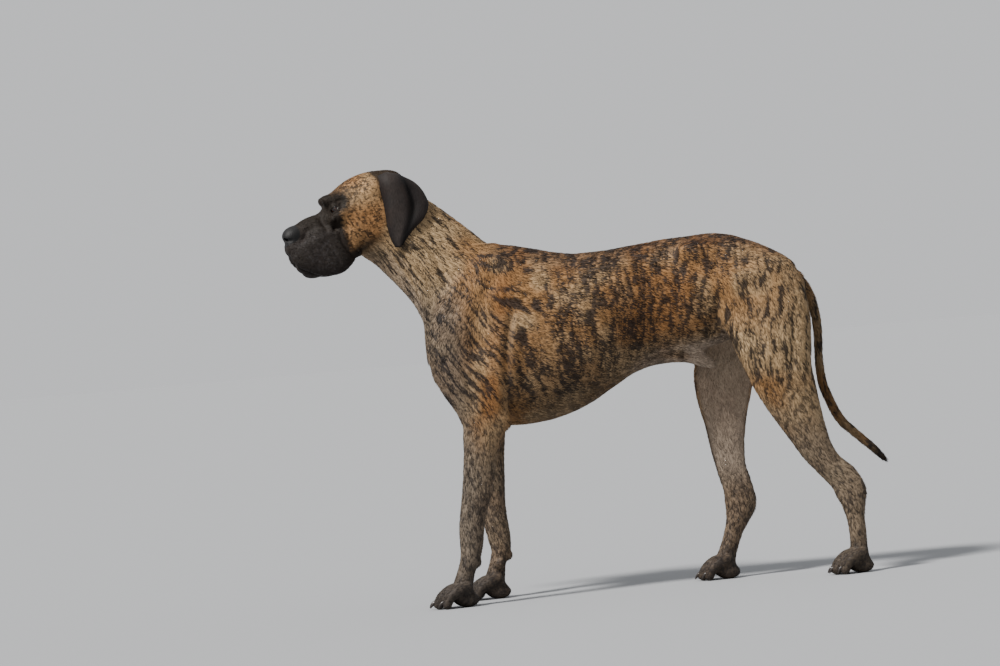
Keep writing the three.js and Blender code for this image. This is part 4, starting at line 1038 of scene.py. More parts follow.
        # Partly painted shadow, partly dark coat: black under the lower jaw.
        low = smooth(-92, -116, u + edge * 0.6) * smooth(-100, -60, f)
        mask = np.clip(np.maximum.reduce([muzzle, eye * (1.1 + 0.9 * fine), low, streaks_and_shade]), 0, 1) * on
        wash(base, colour(*self.black), mask * 0.97)
        grizzle = (0.10 + 0.28 * smooth(0.55, 0.8, fine)) * smooth(10, 60, f) * smooth(12, -50, u) * on
        wash(base, colour(*self.grizzle), grizzle)

    def paint_ear(self, points: np.ndarray, at: np.ndarray) -> np.ndarray:
        """An ear's colour: nearly black, warmer in blotches, with painted highlight on flap and rim and
        painted shade in the groove.

        Args:
            points: points in millimetres.
            at: how far across the leaf each point lies, 0 at the front edge.

        Returns:
            Linear colours, one a row.
        """
        tick = Grain(41).at(points / 2.2)
        soft = Grain(43).at(points / 26.0)
        tint = colour(*self.ear)[None] * (0.7 + 0.5 * tick + 0.25 * soft)[:, None]
        warm = smooth(0.55, 0.85, soft)[:, None] * 0.22
        tint = tint + (colour(*self.ear_warm)[None] - tint) * warm
        # Painted highlight: a pale band across the front flap and a thin one along the rear rim.
        painted_highlight = (0.5 * ridge(at - 0.38, 0.16) + 0.35 * ridge(at - 0.92, 0.05))[:, None]
        tint = tint + (colour(*self.ear_sheen)[None] - tint) * painted_highlight * (0.5 + 0.5 * tick)[:, None]
        # Painted shade: darker along the groove in the rear third of the leaf.
        return tint * (0.8 - 0.6 * ridge(at - 0.7, 0.07))[:, None]


# Finishes


class Nodes:
    """A material's node tree, filled by short calls."""

    def __init__(self, name: str) -> None:
        """Starts a material with one shader."""
        self.material = bpy.data.materials.new(name)
        self.material.use_nodes = True
        self.tree = self.material.node_tree
        self.shader = self.tree.nodes["Principled BSDF"]

    def add(self, kind: str, **values) -> bpy.types.Node:
        """Adds a node and sets its properties."""
        node = self.tree.nodes.new(kind)
        for key, value in values.items():
            setattr(node, key, value)
        return node

    def link(self, a: bpy.types.NodeSocket, b: bpy.types.NodeSocket) -> None:
        """Joins an output to an input."""
        self.tree.links.new(a, b)


@dataclass(frozen=True)
class CoatFinish:
    """Short hair: the painted colour, on the skin also with hair-fine flecks and bump.

    The flecks are drawn out along X on the trunk and along Z on limbs, neck and tail.
    """

    name: str = "coat_brindle"
    roughness: float = 0.66
    flecks: bool = True

    def make(self) -> bpy.types.Material:
        """Builds the material."""
        n = Nodes(self.name)
        paint = n.add("ShaderNodeAttribute", attribute_name="coat")
        n.shader.inputs["Roughness"].default_value = self.roughness
        n.shader.inputs["Specular IOR Level"].default_value = 0.16
        if not self.flecks:
            n.link(paint.outputs["Color"], n.shader.inputs["Base Color"])
            return n.material
        place = n.add("ShaderNodeTexCoord")
        zone = n.add("ShaderNodeAttribute", attribute_name="limb")
        layers = []
        for scale in ((160.0, 420.0, 420.0), (520.0, 520.0, 130.0)):
            stretch = n.add("ShaderNodeMapping")
            stretch.inputs["Scale"].default_value = scale
            noise = n.add("ShaderNodeTexNoise")
            noise.inputs["Scale"].default_value = 1.0
            noise.inputs["Detail"].default_value = 3.0
            noise.inputs["Roughness"].default_value = 0.6
            n.link(place.outputs["Object"], stretch.inputs["Vector"])
            n.link(stretch.outputs["Vector"], noise.inputs["Vector"])
            layers.append(noise)
        mix = n.add("ShaderNodeMix", data_type="FLOAT")
        n.link(zone.outputs["Fac"], mix.inputs[0])
        n.link(layers[0].outputs["Fac"], mix.inputs[2])
        n.link(layers[1].outputs["Fac"], mix.inputs[3])
        ramp = n.add("ShaderNodeMapRange")
        ramp.inputs["From Min"].default_value = 0.3
        ramp.inputs["From Max"].default_value = 0.7
        ramp.inputs["To Min"].default_value = 0.62
        ramp.inputs["To Max"].default_value = 1.3
        n.link(mix.outputs[0], ramp.inputs["Value"])
        tint = n.add("ShaderNodeVectorMath", operation="SCALE")
        n.link(paint.outputs["Color"], tint.inputs[0])
        n.link(ramp.outputs["Result"], tint.inputs["Scale"])
        n.link(tint.outputs["Vector"], n.shader.inputs["Base Color"])
        bump = n.add("ShaderNodeBump")
        bump.inputs["Strength"].default_value = 0.45
        bump.inputs["Distance"].default_value = 0.0016
        n.link(mix.outputs[0], bump.inputs["Height"])
        n.link(bump.outputs["Normal"], n.shader.inputs["Normal"])
        return n.material


@dataclass(frozen=True)
class PlainFinish:
    """A finish of one colour with an optional fine grain."""

    name: str
    tint: tuple
    roughness: float
    coat: float = 0.0
    grain: float = 0.0
    size: float = 900.0

    def make(self) -> bpy.types.Material:
        """Builds the material."""
        n = Nodes(self.name)
        n.shader.inputs["Base Color"].default_value = (*colour(*self.tint), 1.0)
        n.shader.inputs["Roughness"].default_value = self.roughness
        n.shader.inputs["Specular IOR Level"].default_value = 0.3
        n.shader.inputs["Coat Weight"].default_value = self.coat
        n.shader.inputs["Coat Roughness"].default_value = 0.12
        if self.grain > 0:
            place = n.add("ShaderNodeTexCoord")
            cells = n.add("ShaderNodeTexVoronoi")
            cells.inputs["Scale"].default_value = self.size
            bump = n.add("ShaderNodeBump")
            bump.inputs["Strength"].default_value = self.grain
            bump.inputs["Distance"].default_value = 0.0008
            n.link(place.outputs["Object"], cells.inputs["Vector"])
            n.link(cells.outputs["Distance"], bump.inputs["Height"])
            n.link(bump.outputs["Normal"], n.shader.inputs["Normal"])
        return n.material


@dataclass(frozen=True)
class EyeFinish:
    """The painted eyeball under a clear, wet front."""

    name: str = "eye_glass"

    def make(self) -> bpy.types.Material:
        """Builds the material."""
        n = Nodes(self.name)
        paint = n.add("ShaderNodeAttribute", attribute_name="coat")
        n.link(paint.outputs["Color"], n.shader.inputs["Base Color"])
        n.shader.inputs["Roughness"].default_value = 0.3
        n.shader.inputs["Specular IOR Level"].default_value = 0.3
        n.shader.inputs["Coat Weight"].default_value = 0.35
        n.shader.inputs["Coat Roughness"].default_value = 0.06
        return n.material


# Meshes


def make_object(
    name: str, points: np.ndarray, faces: np.ndarray, material: bpy.types.Material
) -> bpy.types.Object:
    """A smooth mesh object from points in millimetres.

    Args:
        name: the object's name.
        points: points in millimetres.
        faces: rows of point numbers, all of one length.
        material: the finish.

    Returns:
        The object, linked to the scene.
    """
    mesh = bpy.data.meshes.new(name)
    count, sides = faces.shape
    mesh.vertices.add(len(points))
    mesh.vertices.foreach_set("co", (np.asarray(points) * MM).astype(np.float32).ravel())
    mesh.loops.add(count * sides)
    mesh.loops.foreach_set("vertex_index", faces.astype(np.int32).ravel())
    mesh.polygons.add(count)
    mesh.polygons.foreach_set("loop_start", np.arange(0, count * sides, sides, dtype=np.int32))
    mesh.update(calc_edges=True)
    mesh.polygons.foreach_set("use_smooth", np.ones(count, dtype=bool))
    mesh.materials.append(material)
    thing = bpy.data.objects.new(name, mesh)
    bpy.context.scene.collection.objects.link(thing)
    return thing


def put_colours(thing: bpy.types.Object, name: str, colours: np.ndarray) -> None:
    """Stores linear colours at the points of a mesh."""
    layer = thing.data.color_attributes.new(name, "FLOAT_COLOR", "POINT")
    rgba = np.column_stack([np.clip(colours, 0, 1), np.ones(len(colours))]).astype(np.float32)
    layer.data.foreach_set("color", rgba.ravel())


def put_values(thing: bpy.types.Object, name: str, values: np.ndarray) -> None:
    """Stores numbers at the points of a mesh."""
    layer = thing.data.attributes.new(name, "FLOAT", "POINT")
    layer.data.foreach_set("value", values.astype(np.float32))


def loft(rings: np.ndarray) -> tuple[np.ndarray, np.ndarray]:
    """Points and triangles of a closed body through rings of equally many points."""
    rows, count = rings.shape[:2]
    points = [rings.reshape(-1, 3)]
    faces = []
    i = np.arange(count)
    j = (i + 1) % count
    for r in range(rows - 1):
        a, b = r * count + i, r * count + j
        faces.append(np.stack([a, b, a + count], axis=1))
        faces.append(np.stack([b, b + count, a + count], axis=1))
    for row, flip in ((0, True), (rows - 1, False)):
        points.append(rings[row].mean(axis=0, keepdims=True))
        hub = np.full(count, rows * count + (0 if flip else 1))
        a, b = row * count + i, row * count + j
        faces.append(np.stack([b, a, hub] if flip else [a, b, hub], axis=1))
    p, f = np.concatenate(points), np.concatenate(faces)
    a, b, c = (p[f[:, k]] for k in range(3))
    if np.einsum("ij,ij->i", a, np.cross(b, c)).sum() < 0:
        f = f[:, ::-1]
    return p, f


# Ears


@dataclass
class Ear:
    """A folded, hanging ear: rows from root to tip in the head's frame, each from front to rear edge."""

    side: float
    thick: float = 4.4
    rows: tuple = (
        ((-113, 39, 21), (-134, 40, 13), (-154, 37, 3), (-168, 33, -6), (-178, 28, -16)),
        ((-113, 54, 27), (-137, 59, 24), (-156, 57, 16), (-172, 53, 3), (-186, 47, -16)),
        ((-110, 67, 7), (-132, 77, 6), (-154, 77, 2), (-176, 69, -12), (-198, 57, -36)),
        ((-102, 71, -32), (-122, 82, -30), (-148, 83, -34), (-176, 75, -44), (-203, 60, -62)),
        ((-92, 74, -66), (-110, 85, -66), (-138, 86, -70), (-168, 78, -78), (-200, 64, -88)),
        ((-82, 77, -98), (-98, 86, -100), (-120, 89, -104), (-146, 85, -108), (-174, 75, -112)),
        ((-78, 78, -122), (-88, 85, -124), (-102, 87, -127), (-119, 85, -127), (-138, 80, -126)),
        ((-78, 80, -144), (-84, 83, -147), (-90, 84, -149), (-97, 83, -147), (-104, 81, -143)),
    )

    def sheet(self, down: int, across: int) -> np.ndarray:
        """Points of the ear's middle sheet, in the head's frame."""
        table = np.array(self.rows, dtype=float)
        table[:, :, 1] *= self.side
        made = np.zeros((down + 1, across + 1, 3))
        for r in range(down + 1):
            line = np.array([spline(table[:, c], r / down) for c in range(5)])
            for c in range(across + 1):
                made[r, c] = spline(line, c / across)
        return made

    def build(self) -> tuple[np.ndarray, np.ndarray, np.ndarray]:
        """Makes the leaf with its folds.

        Returns:
            Points in millimetres, triangles, and how far across the leaf each point lies.
        """
        down, across = 40, 26
        sheet = self.sheet(down, across)
        run_down = np.gradient(sheet, axis=0)
        run_across = np.gradient(sheet, axis=1)
        normal = unit(np.cross(run_across, run_down)) * -self.side
        t = np.linspace(0, 1, across + 1)[None, :]
        r = np.linspace(0, 1, down + 1)[:, None]
        middle = np.clip((r - 0.15) * 4, 0, 1) * np.clip((0.88 - r) * 3, 0, 1)
        groove = -9.0 * ridge(t - 0.7 - 0.05 * np.sin(5 * r), 0.09) * middle
        rim = 5.5 * ridge(t - 0.92, 0.09) * middle
        ripple = 1.2 * np.sin(8.0 * t + 3.2 * r) * smooth(0.1, 0.3, r) * smooth(1.0, 0.8, r)
        fold = 3.0 * ridge(t - 0.3, 0.12) * smooth(0.02, 0.2, r) * smooth(0.9, 0.5, r)
        curl = -3.0 * ridge(t, 0.08) * smooth(0.05, 0.2, r)
        sheet = sheet + normal * (groove + rim + ripple + fold + curl)[..., None]
        edge = np.minimum(1, 0.3 + 4.0 * np.minimum(t, 1 - t)) * np.minimum(1, 0.4 + (1 - r) * 9)
        half = (self.thick / 2 * edge)[..., None]
        outer, inner = sheet + normal * half, sheet - normal * half
        rings = np.concatenate([outer, inner[:, ::-1]], axis=1)
        points, faces = loft(rings)
        points = from_head(points)
        a, b, c = (points[faces[:, k]] for k in range(3))
        if np.einsum("ij,ij->i", a - HEAD_PLACE, np.cross(b - a, c - a)).sum() < 0:
            faces = faces[:, ::-1]
        at = np.concatenate([np.tile(t, (down + 1, 1)), np.tile(t[:, ::-1], (down + 1, 1))], axis=1)
        return points, faces, np.append(at.reshape(-1), [0.3, 0.3])


# Coat

# How long and how dense the tufts are in each zone, in the order of Zone
ZONE_LENGTH = np.array([1.0, 1.05, 0.8, 0.9, 0.42, 0.95, 0.42])
ZONE_DENSITY = np.array([1.0, 1.0, 1.1, 1.0, 1.9, 1.4, 2.3])


@dataclass
class Coat:
    """Short tufts, each a thin three-sided blade that lies along the body."""

    count: int
    length: float = 13.0
    width: float = 1.5

    def length_at(self, share: np.ndarray, p: np.ndarray) -> np.ndarray:
        """The tufts' length at points, by zone."""
        long = self.length * (share @ ZONE_LENGTH)
        back = smooth(440, 520, p[:, 0]) * smooth(400, 500, p[:, 2])
        return long * (1 + 0.25 * back)

    def grow(self, flesh: Flesh, rng: np.random.Generator) -> dict[str, np.ndarray]:
        """Roots, lie and colours of all tufts.

        Args:
            flesh: the skin.
            rng: the source of chance.

        Returns:
            Arrays by name, one row a tuft.
        """
        q = flesh.quads
        a, b, c, d = (flesh.points[q[:, i]] for i in range(4))
        area = 0.5 * np.linalg.norm(np.cross(c - a, d - b), axis=1)
        share = flesh.share[q].mean(axis=1)
        dense = share @ ZONE_DENSITY
        middle = q[:, 0]
        h = to_head(flesh.points[middle])
        lips = (h[:, 0] > 20) & (h[:, 2] < -20) & (np.abs(h[:, 1]) < 14)
        eyes = np.zeros(len(q), dtype=bool)
        for side in BOTH:
            eyes |= np.linalg.norm(h - eye_centre(side), axis=1) < 15.0
        nose = np.linalg.norm((h - np.array([126, 0, -13])) / np.array([30, 32, 26]), axis=1) < 1.0
        sole = flesh.points[middle][:, 2] < 5.0
        dense = dense * ~(lips | eyes | nose | sole)
        chance = area * dense
        face = rng.choice(len(q), size=self.count, p=chance / chance.sum())
        s, t = rng.random(self.count)[:, None], rng.random(self.count)[:, None]
        corners = q[face]

        def spread(values: np.ndarray) -> np.ndarray:
            """Values of the skin at the tufts' roots."""
            v = values[corners]
            top = v[:, 0] * (1 - s) + v[:, 1] * s
            low = v[:, 3] * (1 - s) + v[:, 2] * s
            return top * (1 - t) + low * t

        return {name: spread(getattr(flesh, name)) for name in ("points", "normals", "lie", "share")}

    def blades(self, roots: dict[str, np.ndarray], rng: np.random.Generator) -> np.ndarray:
        """Seven points for each tuft: three at the root, three half way and the tip."""
        n = unit(roots["normals"])
        lie = roots["lie"] - n * np.einsum("ij,ij->i", roots["lie"], n)[:, None]
        lie = unit(lie)
        side = np.cross(n, lie)
        count = len(n)
        swing = rng.normal(0, 0.20, count)[:, None]
        lie, side = unit(lie + side * swing), unit(side - lie * swing)
        long = self.length_at(roots["share"], roots["points"]) * rng.uniform(0.75, 1.2, count)
        long = long[:, None]
        wide = self.width * (0.45 + 0.55 * long / self.length) * rng.uniform(0.75, 1.25, count)[:, None]
        lift = (0.10 + 0.10 * rng.random(count)[:, None]) * long
        root = roots["points"] - n * 0.5
        mid = root + lie * long * 0.5 + n * (0.35 + 0.42 * lift)
        tip = root + lie * long + n * (0.5 + 0.55 * lift)
        half, thin = wide * 0.5, wide * 0.22
        made = [root - side * half, root + side * half, root + n * thin]
        made += [mid - side * half * 0.85, mid + side * half * 0.85, mid + n * thin, tip]
        return np.stack(made, axis=1)


# A tuft of seven points: three at the root, three half way and the tip
BLADE_POINTS = 7
BLADE_FACES = np.array(
    [[0, 1, 4], [0, 4, 3], [1, 2, 5], [1, 5, 4], [2, 0, 3], [2, 3, 5], [3, 4, 6], [4, 5, 6], [5, 3, 6]]
)
BLADE_SHADE = np.array([0.80, 0.80, 0.86, 0.98, 0.98, 1.04, 1.12])
BLADE_PATCH = np.array([[0, 0], [1, 0], [0.5, 0.3], [0, 0.6], [1, 0.6], [0.5, 0.7], [0.5, 1]])
PATCH_SIZE = 0.003
PIECE_TUFTS = 20000

# The middle line of each leg: heights and the X at each of them
LEG_LINES = (
    ([0, 66, 185, 430, 560, 860], [-350, -336, -311, -260, -300, -200]),
    ([0, 66, 185, 430, 560, 860], [-270, -262, -253, -258, -290, -200]),
    ([0, 66, 228, 435, 640, 860], [600, 613, 592, 482, 440, 418]),
    ([0, 66, 225, 440, 640, 860], [295, 308, 346, 331, 400, 418]),
)


def unwrap(p: np.ndarray, zone: np.ndarray) -> np.ndarray:
    """Places on an unwrap: trunk, neck and head by length and angle, each leg and the tail a strip.

    Args:
        p: points in millimetres.
        zone: each point's strongest zone.

    Returns:
        UV places in the unit square.
    """
    x, y, z = p.T
    level = np.interp(x, [-700, -560, -400, -300, 0, 300, 540], [880, 930, 890, 640, 640, 710, 700])
    turn = np.arctan2(y, z - level) / (2 * math.pi) + 0.5
    place = np.column_stack([(x + 720) / 1300.0, 0.01 + 0.46 * turn])
    fore = (x < -100) & np.isin(zone, [Zone.FORE.value, Zone.PAW.value])
    hind = (x > 150) & np.isin(zone, [Zone.HIND.value, Zone.PAW.value])
    for number, mask in enumerate((fore & (y < 0), fore & (y >= 0), hind & (y < 0), hind & (y >= 0))):
        if mask.any():
            cx = np.interp(z[mask], *LEG_LINES[number])
            around = np.arctan2(np.abs(y[mask]) - 95, x[mask] - cx) / (2 * math.pi) + 0.5
            strip = 0.01 + number * 0.25 + 0.22 * around
            place[mask] = np.column_stack([strip, 0.49 + 0.4 * z[mask] / 870.0])
    tail = zone == Zone.TAIL.value
    around = np.arctan2(y[tail], x[tail] - 570) / (2 * math.pi) + 0.5
    place[tail] = np.column_stack([0.02 + 0.9 * (z[tail] - 240) / 560.0, 0.92 + 0.06 * around])
    return np.clip(place, 0.002, 0.996)


def make_coat(
    name: str, blades: np.ndarray, uv: np.ndarray, colours: np.ndarray, material: bpy.types.Material
) -> bpy.types.Object:
    """One piece of coat.

    Args:
        name: the piece's name.
        blades: seven points for each tuft, in millimetres.
        uv: each tuft's root on the unwrap.
        colours: each tuft's linear colour.
        material: the finish.

    Returns:
        The object.
    """
    first = BLADE_POINTS * np.arange(len(blades))
    faces = (BLADE_FACES[None] + first[:, None, None]).reshape(-1, 3)
    thing = make_object(name, blades.reshape(-1, 3), faces, material)
    put_colours(thing, "coat", (colours[:, None, :] * BLADE_SHADE[None, :, None]).reshape(-1, 3))
    patch = BLADE_PATCH * PATCH_SIZE - PATCH_SIZE / 2
    places = (uv[:, None, :] + patch[None]).reshape(-1, 2)
    layer = thing.data.uv_layers.new(name="OFBake")
    layer.data.foreach_set("uv", places[faces.ravel()].astype(np.float32).ravel())
    return thing


# Eyes, nose and claws


@dataclass
class Eye:
    """An eyeball with a brown iris, dark pupil and clear front, and the wet rim of its lids."""

    side: float
    iris: tuple = (44, 22, 11)
    iris_edge: tuple = (18, 11, 8)
    pupil: tuple = (4, 3, 3)
    # Painted shade: the white of the eye is laid nearly black, as in its deep, shaded socket.
    shaded_white: tuple = (30, 20, 17)

    def centre(self) -> np.ndarray:
        """The eyeball's middle, in the head's frame."""
        return eye_centre(self.side)

    def build(self, finishes: dict[str, bpy.types.Material]) -> list[bpy.types.Object]:
        """Makes the eyeball and the lids' rim.

        Args:
            finishes: materials by name.

        Returns:
            The objects.
        """
        word = "left" if self.side > 0 else "right"
        look, level, rise = gaze(self.side)
        rings = []
        for i in range(33):
            a = math.pi * (i + 0.25) / 33.5
            bulge = 0.9 * math.exp(-((a / 0.42) ** 2))
            ring = []
            for j in range(40):
                b = 2 * math.pi * j / 40
                out = (EYE_RADIUS + bulge) * math.cos(a)
                wide = (EYE_RADIUS + bulge) * math.sin(a)
                ring.append(self.centre() + look * out + (level * math.cos(b) + rise * math.sin(b)) * wide)
            rings.append(from_head(np.array(ring)))
        points, faces = loft(np.array(rings))
        ball = make_object(f"eyeball_{word}", points, faces, finishes["eye"])
        h = to_head(points) - self.centre()
        angle = np.arccos(np.clip(unit(h) @ look, -1, 1))
        spoke = np.arctan2(h @ rise, h @ level)
        iris = colour(*self.iris) * (0.8 + 0.35 * np.sin(spoke * 23) * np.sin(spoke * 9 + 1))[:, None]
        shaded_white = np.tile(colour(*self.shaded_white), (len(points), 1))
        tint = np.where((angle < 0.72)[:, None], iris, shaded_white)
        tint = np.where(((angle > 0.56) & (angle < 0.66))[:, None], colour(*self.iris_edge), tint)
        tint = np.where((angle < 0.3)[:, None], colour(*self.pupil), tint)
        put_colours(ball, "coat", tint)
        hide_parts(f"eye_{word}")
        return [ball, self.rim(word, finishes["lid"])]

    def rim(self, word: str, material: bpy.types.Material) -> bpy.types.Object:
        """The dark, wet edge of both lids: a thin closed ring on the eyeball."""
        look, level, rise = gaze(self.side)
        count, around = 64, 8
        path = []
        for i in range(count):
            a = 2 * math.pi * i / count
            wide = (LID_WIDE + 0.1) * math.cos(a)
            high = (LID_HALVES[0] if math.sin(a) > 0 else LID_HALVES[1]) * math.sin(a)
            flat = level * wide + rise * high
            out = math.sqrt(max((EYE_RADIUS + 0.9) ** 2 - flat @ flat, 0.0))
            path.append(self.centre() + flat + look * out)
        path = np.array(path)
        ahead = unit(np.roll(path, -1, axis=0) - np.roll(path, 1, axis=0))
        out = unit(path - self.centre())
        across = np.cross(ahead, out)
        rings = []
        for j in range(around):
            b = 2 * math.pi * j / around
            rings.append(path + 0.8 * (out * math.cos(b) + across * math.sin(b)))
        points = from_head(np.stack(rings, axis=1).reshape(-1, 3))
        i, j = np.meshgrid(np.arange(count), np.arange(around), indexing="ij")
        a, b = i * around + j, i * around + (j + 1) % around
        c, d = ((i + 1) % count) * around + (j + 1) % around, ((i + 1) % count) * around + j
        faces = np.stack([a, b, c, d], axis=-1).reshape(-1, 4)
        return make_object(f"lid_rim_{word}", points, faces, material)


@dataclass
class Nose:
    """The nose leather: a rounded block with two comma-shaped nostrils and a groove between them."""

    @staticmethod
    def forms() -> list[Form]:
        """The block of the nose and its two wings."""
        made: list[Form] = [head_blob((121, 0, -11), (26, 23, 20), 9)]
        made += [head_blob((126, s * 14, -15), (19, 13, 15), 8) for s in (1, -1)]
        return made

    @staticmethod
    def holes() -> list[Tube]:
        """The two nostrils, which open forwards and curl to the sides."""
        return [
            head_tube([(116, s * 9, -13, 4, 4), (132, s * 11, -14, 5, 4.5), (143, s * 14, -16, 5, 4),
                       (139, s * 23, -20, 3.5, 3), (130, s * 29, -23, 3, 2.5)], 4)
            for s in (1, -1)
        ]

    def build(self, material: bpy.types.Material) -> bpy.types.Object:
        """Makes the nose leather, which caps the front of the muzzle."""
        spans = ((-740, -650), (-105, -5), (885, 970))
        grid = UnevenGrid([np.arange(a, b, 1.25).astype(np.float32) for a, b in spans])
        for form in Head().forms() + self.forms():
            grid.melt(form)
        x, y, z = grid.coordinates((slice(None),) * 3)
        p = to_head(np.stack([x, y, z], axis=-1))
        f, s, u = p[..., 0], p[..., 1], p[..., 2]
        patch = np.sqrt(((f - 128) / 36) ** 2 + (s / 34) ** 2 + ((u + 14) / 29) ** 2) - 1.0
        patch = np.maximum(patch * 22.0, 99 - f)
        grid.values = soft_max(grid.values, patch, 3.0)
        for hole in self.holes():
            grid.values = soft_max(grid.values, -hole.distance(x, y, z), 2.5)
        groove = 1.6 * ridge(s, 1.5) * smooth(132, 140, f)
        grid.values = (grid.values + groove).astype(np.float32)
        points, quads = grid.surface(-COAT_DEPTH + 0.7)
        thing = make_object("nose_leather", relax(points, quads, 1, 0.4), quads, material)
        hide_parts("nose")
        return thing


@dataclass
class Claw:
    """One curved, blunt claw."""

    paw: Paw
    reach: float
    out: float

    def build(self, name: str, node: str, material: bpy.types.Material) -> bpy.types.Object:
        """Makes the claw, which stands for its CAD node."""
        steps = [(self.reach + 3, 18, 4.6), (self.reach + 10, 16.5, 4.6), (self.reach + 16, 11.5, 3.4),
                 (self.reach + 20.5, 5, 1.2)]
        table = np.array([(f, 0.0, u, r) for f, u, r in steps])
        rings = []
        for i in range(13):
            t = i / 12
            f, _, u = spline(table[:, :3], t)
            r = float(np.interp(t * 3, range(4), table[:, 3]))
            ahead = spline(table[:, :3], min(t + 0.02, 1)) - spline(table[:, :3], max(t - 0.02, 0))
            tilt = math.atan2(ahead[2], ahead[0])
            ring = []
            for j in range(14):
                a = 2 * math.pi * j / 14
                lift = math.sin(a) * r * (0.92 if math.sin(a) < 0 else 1.0)
                ring.append(self.paw.point(
                    f - math.sin(tilt) * lift, self.out + math.cos(a) * r * 0.7, u + math.cos(tilt) * lift))
            rings.append(ring)
        points, faces = loft(np.array(rings))
        thing = make_object(name, points, faces, material)
        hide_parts(node)
        return thing


# The whole dog

FLESH_NODES = (
    "head", "lower_jaw", "neck", "chest", "loin", "croup", "tail_upper", "tail_middle", "tail_lower",
    *(f"{part}_{side}" for side in ("left", "right") for part in (
        "shoulder", "forearm", "pastern", "fore_paw", "thigh", "gaskin", "hock", "hind_paw")),
)


@dataclass
class Dane:
    """The whole dog: skin, coat, ears, eyes, nose and claws."""

    seed: int = 7
    tufts: int = 118000
    pieces: list = field(default_factory=list)

    def finishes(self) -> dict[str, bpy.types.Material]:
        """All the dog's materials by name."""
        return {
            "skin": CoatFinish().make(),
            "coat": CoatFinish("coat_hair", 0.62, False).make(),
            "eye": EyeFinish().make(),
            "lid": PlainFinish("lid_edge", (16, 12, 12), 0.28, 0.4).make(),
            "nose": PlainFinish("nose_leather", (6, 5, 6), 0.58, 0.0, 0.6, 520.0).make(),
            "claw": PlainFinish("claw_horn", (38, 32, 29), 0.38, 0.15).make(),
        }

    def skin(self, finishes: dict[str, bpy.types.Material]) -> Flesh:
        """Makes the one skin.

        Args:
            finishes: materials by name.

        Returns:
            The skin's points with their lie and colours.
        """
        builder = SkinBuilder(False)
        points, quads = builder.build()
        normals = point_normals(points, quads)
        share, lie = builder.survey(points)
        colours = Markings().paint(points, normals, share)
        thing = make_object("skin", points, quads, finishes["skin"])
        put_colours(thing, "coat", colours)
        limbs = [Zone.FORE, Zone.HIND, Zone.NECK, Zone.TAIL]
        put_values(thing, "limb", np.clip(sum(share[:, z.value] for z in limbs), 0, 1))
        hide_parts(*FLESH_NODES)
        self.pieces.append(thing)
        log.info("skin: %d points, %d quads", len(points), len(quads))
        return Flesh(points, quads, normals, lie, share)

    def ears(self, finishes: dict[str, bpy.types.Material]) -> None:
        """Makes both ears."""
        for side, word in ((1.0, "left"), (-1.0, "right")):
            points, faces, at = Ear(side).build()
            thing = make_object(f"ear_leaf_{word}", points, faces, finishes["skin"])
            put_colours(thing, "coat", Markings().paint_ear(points, at))
            put_values(thing, "limb", np.ones(len(points)))
            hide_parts(f"ear_{word}")
            self.pieces.append(thing)
            log.info("ear %s: %d points", word, len(points))

    def coat(self, flesh: Flesh, finishes: dict[str, bpy.types.Material]) -> None:
        """Grows the coat in pieces of under 200,000 triangles."""
        rng = np.random.default_rng(self.seed)
        coat = Coat(self.tufts)
        roots = coat.grow(flesh, rng)
        blades = coat.blades(roots, rng)
        colours = Markings().paint(roots["points"], unit(roots["normals"]), roots["share"])
        colours *= rng.uniform(0.82, 1.2, len(colours))[:, None]
        zone = roots["share"].argmax(axis=1)
        uv = unwrap(roots["points"], zone)
        order = np.argsort(roots["points"][:, 0], kind="stable")
        for number, part in enumerate(np.array_split(order, math.ceil(len(order) / PIECE_TUFTS))):
            piece = make_coat(f"coat_{number + 1}", blades[part], uv[part], colours[part], finishes["coat"])
            self.pieces.append(piece)
            log.info("coat piece %d: %d tufts", number + 1, len(part))

    def build(self) -> None:
        """Builds every piece and lets it ride on the body."""
        finishes = self.finishes()
        flesh = self.skin(finishes)
        self.ears(finishes)
        self.coat(flesh, finishes)
        for side in BOTH:
            self.pieces += Eye(side).build(finishes)
        self.pieces.append(Nose().build(finishes["nose"]))
        for word, paw in PAWS.items():
            leg, side = word.split("_")
            for i, (out, reach, _) in enumerate(paw.toes):
                place = f"{leg}_{side}_{i + 1}"
                claw = Claw(paw, reach, out)
                self.pieces.append(claw.build(f"horn_{place}", f"claw_{place}", finishes["claw"]))
        for piece in self.pieces:
            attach(piece, "root")
        log.info("%d pieces", len(self.pieces))


# Studio


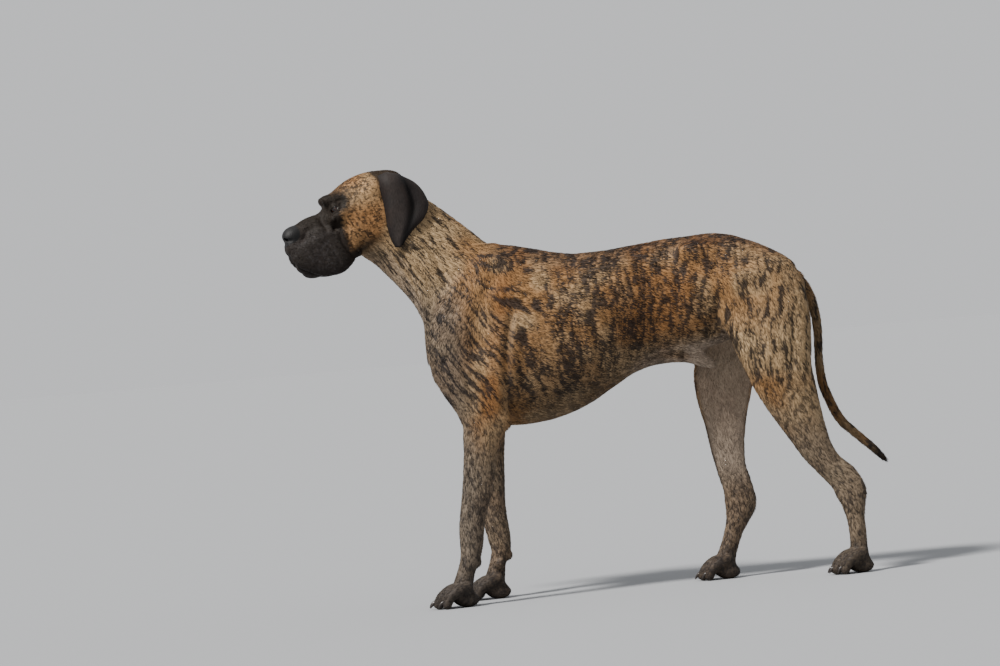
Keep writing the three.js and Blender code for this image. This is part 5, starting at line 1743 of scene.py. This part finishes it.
@dataclass
class Studio:
    """A grey floor, a sun from the dog's upper left front, a pale sky, and a camera at the photo's angle."""

    distance: float = 9.0
    aim: tuple = (-0.202, 0.649)
    across: float = 2.43
    roll: float = 5.0
    reach: float = 300000.0

    def floor(self) -> None:
        """Lays the floor, so wide that its edge is out of sight."""
        finish = PlainFinish("studio_floor", (145, 147, 150), 1.0).make()
        reach = self.reach
        corners = np.array([[-reach, -reach, 0], [reach, -reach, 0], [reach, reach, 0], [-reach, reach, 0]])
        floor = make_object("studio_floor", corners, np.array([[0, 1, 2, 3]]), finish)

    def light(self, name: str, place: tuple, spread: float, power: float, tint: tuple) -> None:
        """Hangs one soft, far light that points at the dog."""
        data = bpy.data.lights.new(name, "SUN")
        data.angle = math.radians(spread)
        data.energy = power
        data.color = tint
        lamp = bpy.data.objects.new(name, data)
        lamp.location = place
        aim = Vector((-0.05, 0.0, 0.6)) - Vector(place)
        lamp.rotation_euler = aim.to_track_quat("-Z", "Y").to_euler()
        bpy.context.scene.collection.objects.link(lamp)

    def build(self) -> None:
        """Sets the floor, lights, sky and camera."""
        self.floor()
        self.light("key_light", (-3.2, -2.6, 5.2), 10.0, 7.2, (1.0, 0.97, 0.93))
        world = bpy.data.worlds.new("studio_sky")
        world.use_nodes = True
        sky = world.node_tree.nodes["Background"]
        sky.inputs["Color"].default_value = (0.97, 0.98, 1.0, 1.0)
        sky.inputs["Strength"].default_value = 0.72
        bpy.context.scene.world = world
        roll = math.radians(self.roll)
        right = Vector((math.cos(roll), 0.0, -math.sin(roll)))
        up = Vector((math.sin(roll), 0.0, math.cos(roll)))
        back = Vector((0.0, -1.0, 0.0))
        data = bpy.data.cameras.new("camera")
        data.sensor_width = 36.0
        data.lens = 36.0 * self.distance / self.across
        data.clip_end = 100.0
        camera = bpy.data.objects.new("camera", data)
        turn = Matrix((right, up, back)).transposed().to_4x4()
        camera.matrix_world = Matrix.Translation((self.aim[0], -self.distance, self.aim[1])) @ turn
        bpy.context.scene.collection.objects.link(camera)
        bpy.context.scene.camera = camera
        log.info("studio set")


def main() -> None:
    """Builds the dog and its studio."""
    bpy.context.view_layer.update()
    Dane().build()
    Studio().build()


if __name__ == "__main__":
    logging.basicConfig(level=logging.INFO, format="%(name)s: %(message)s")
    main()
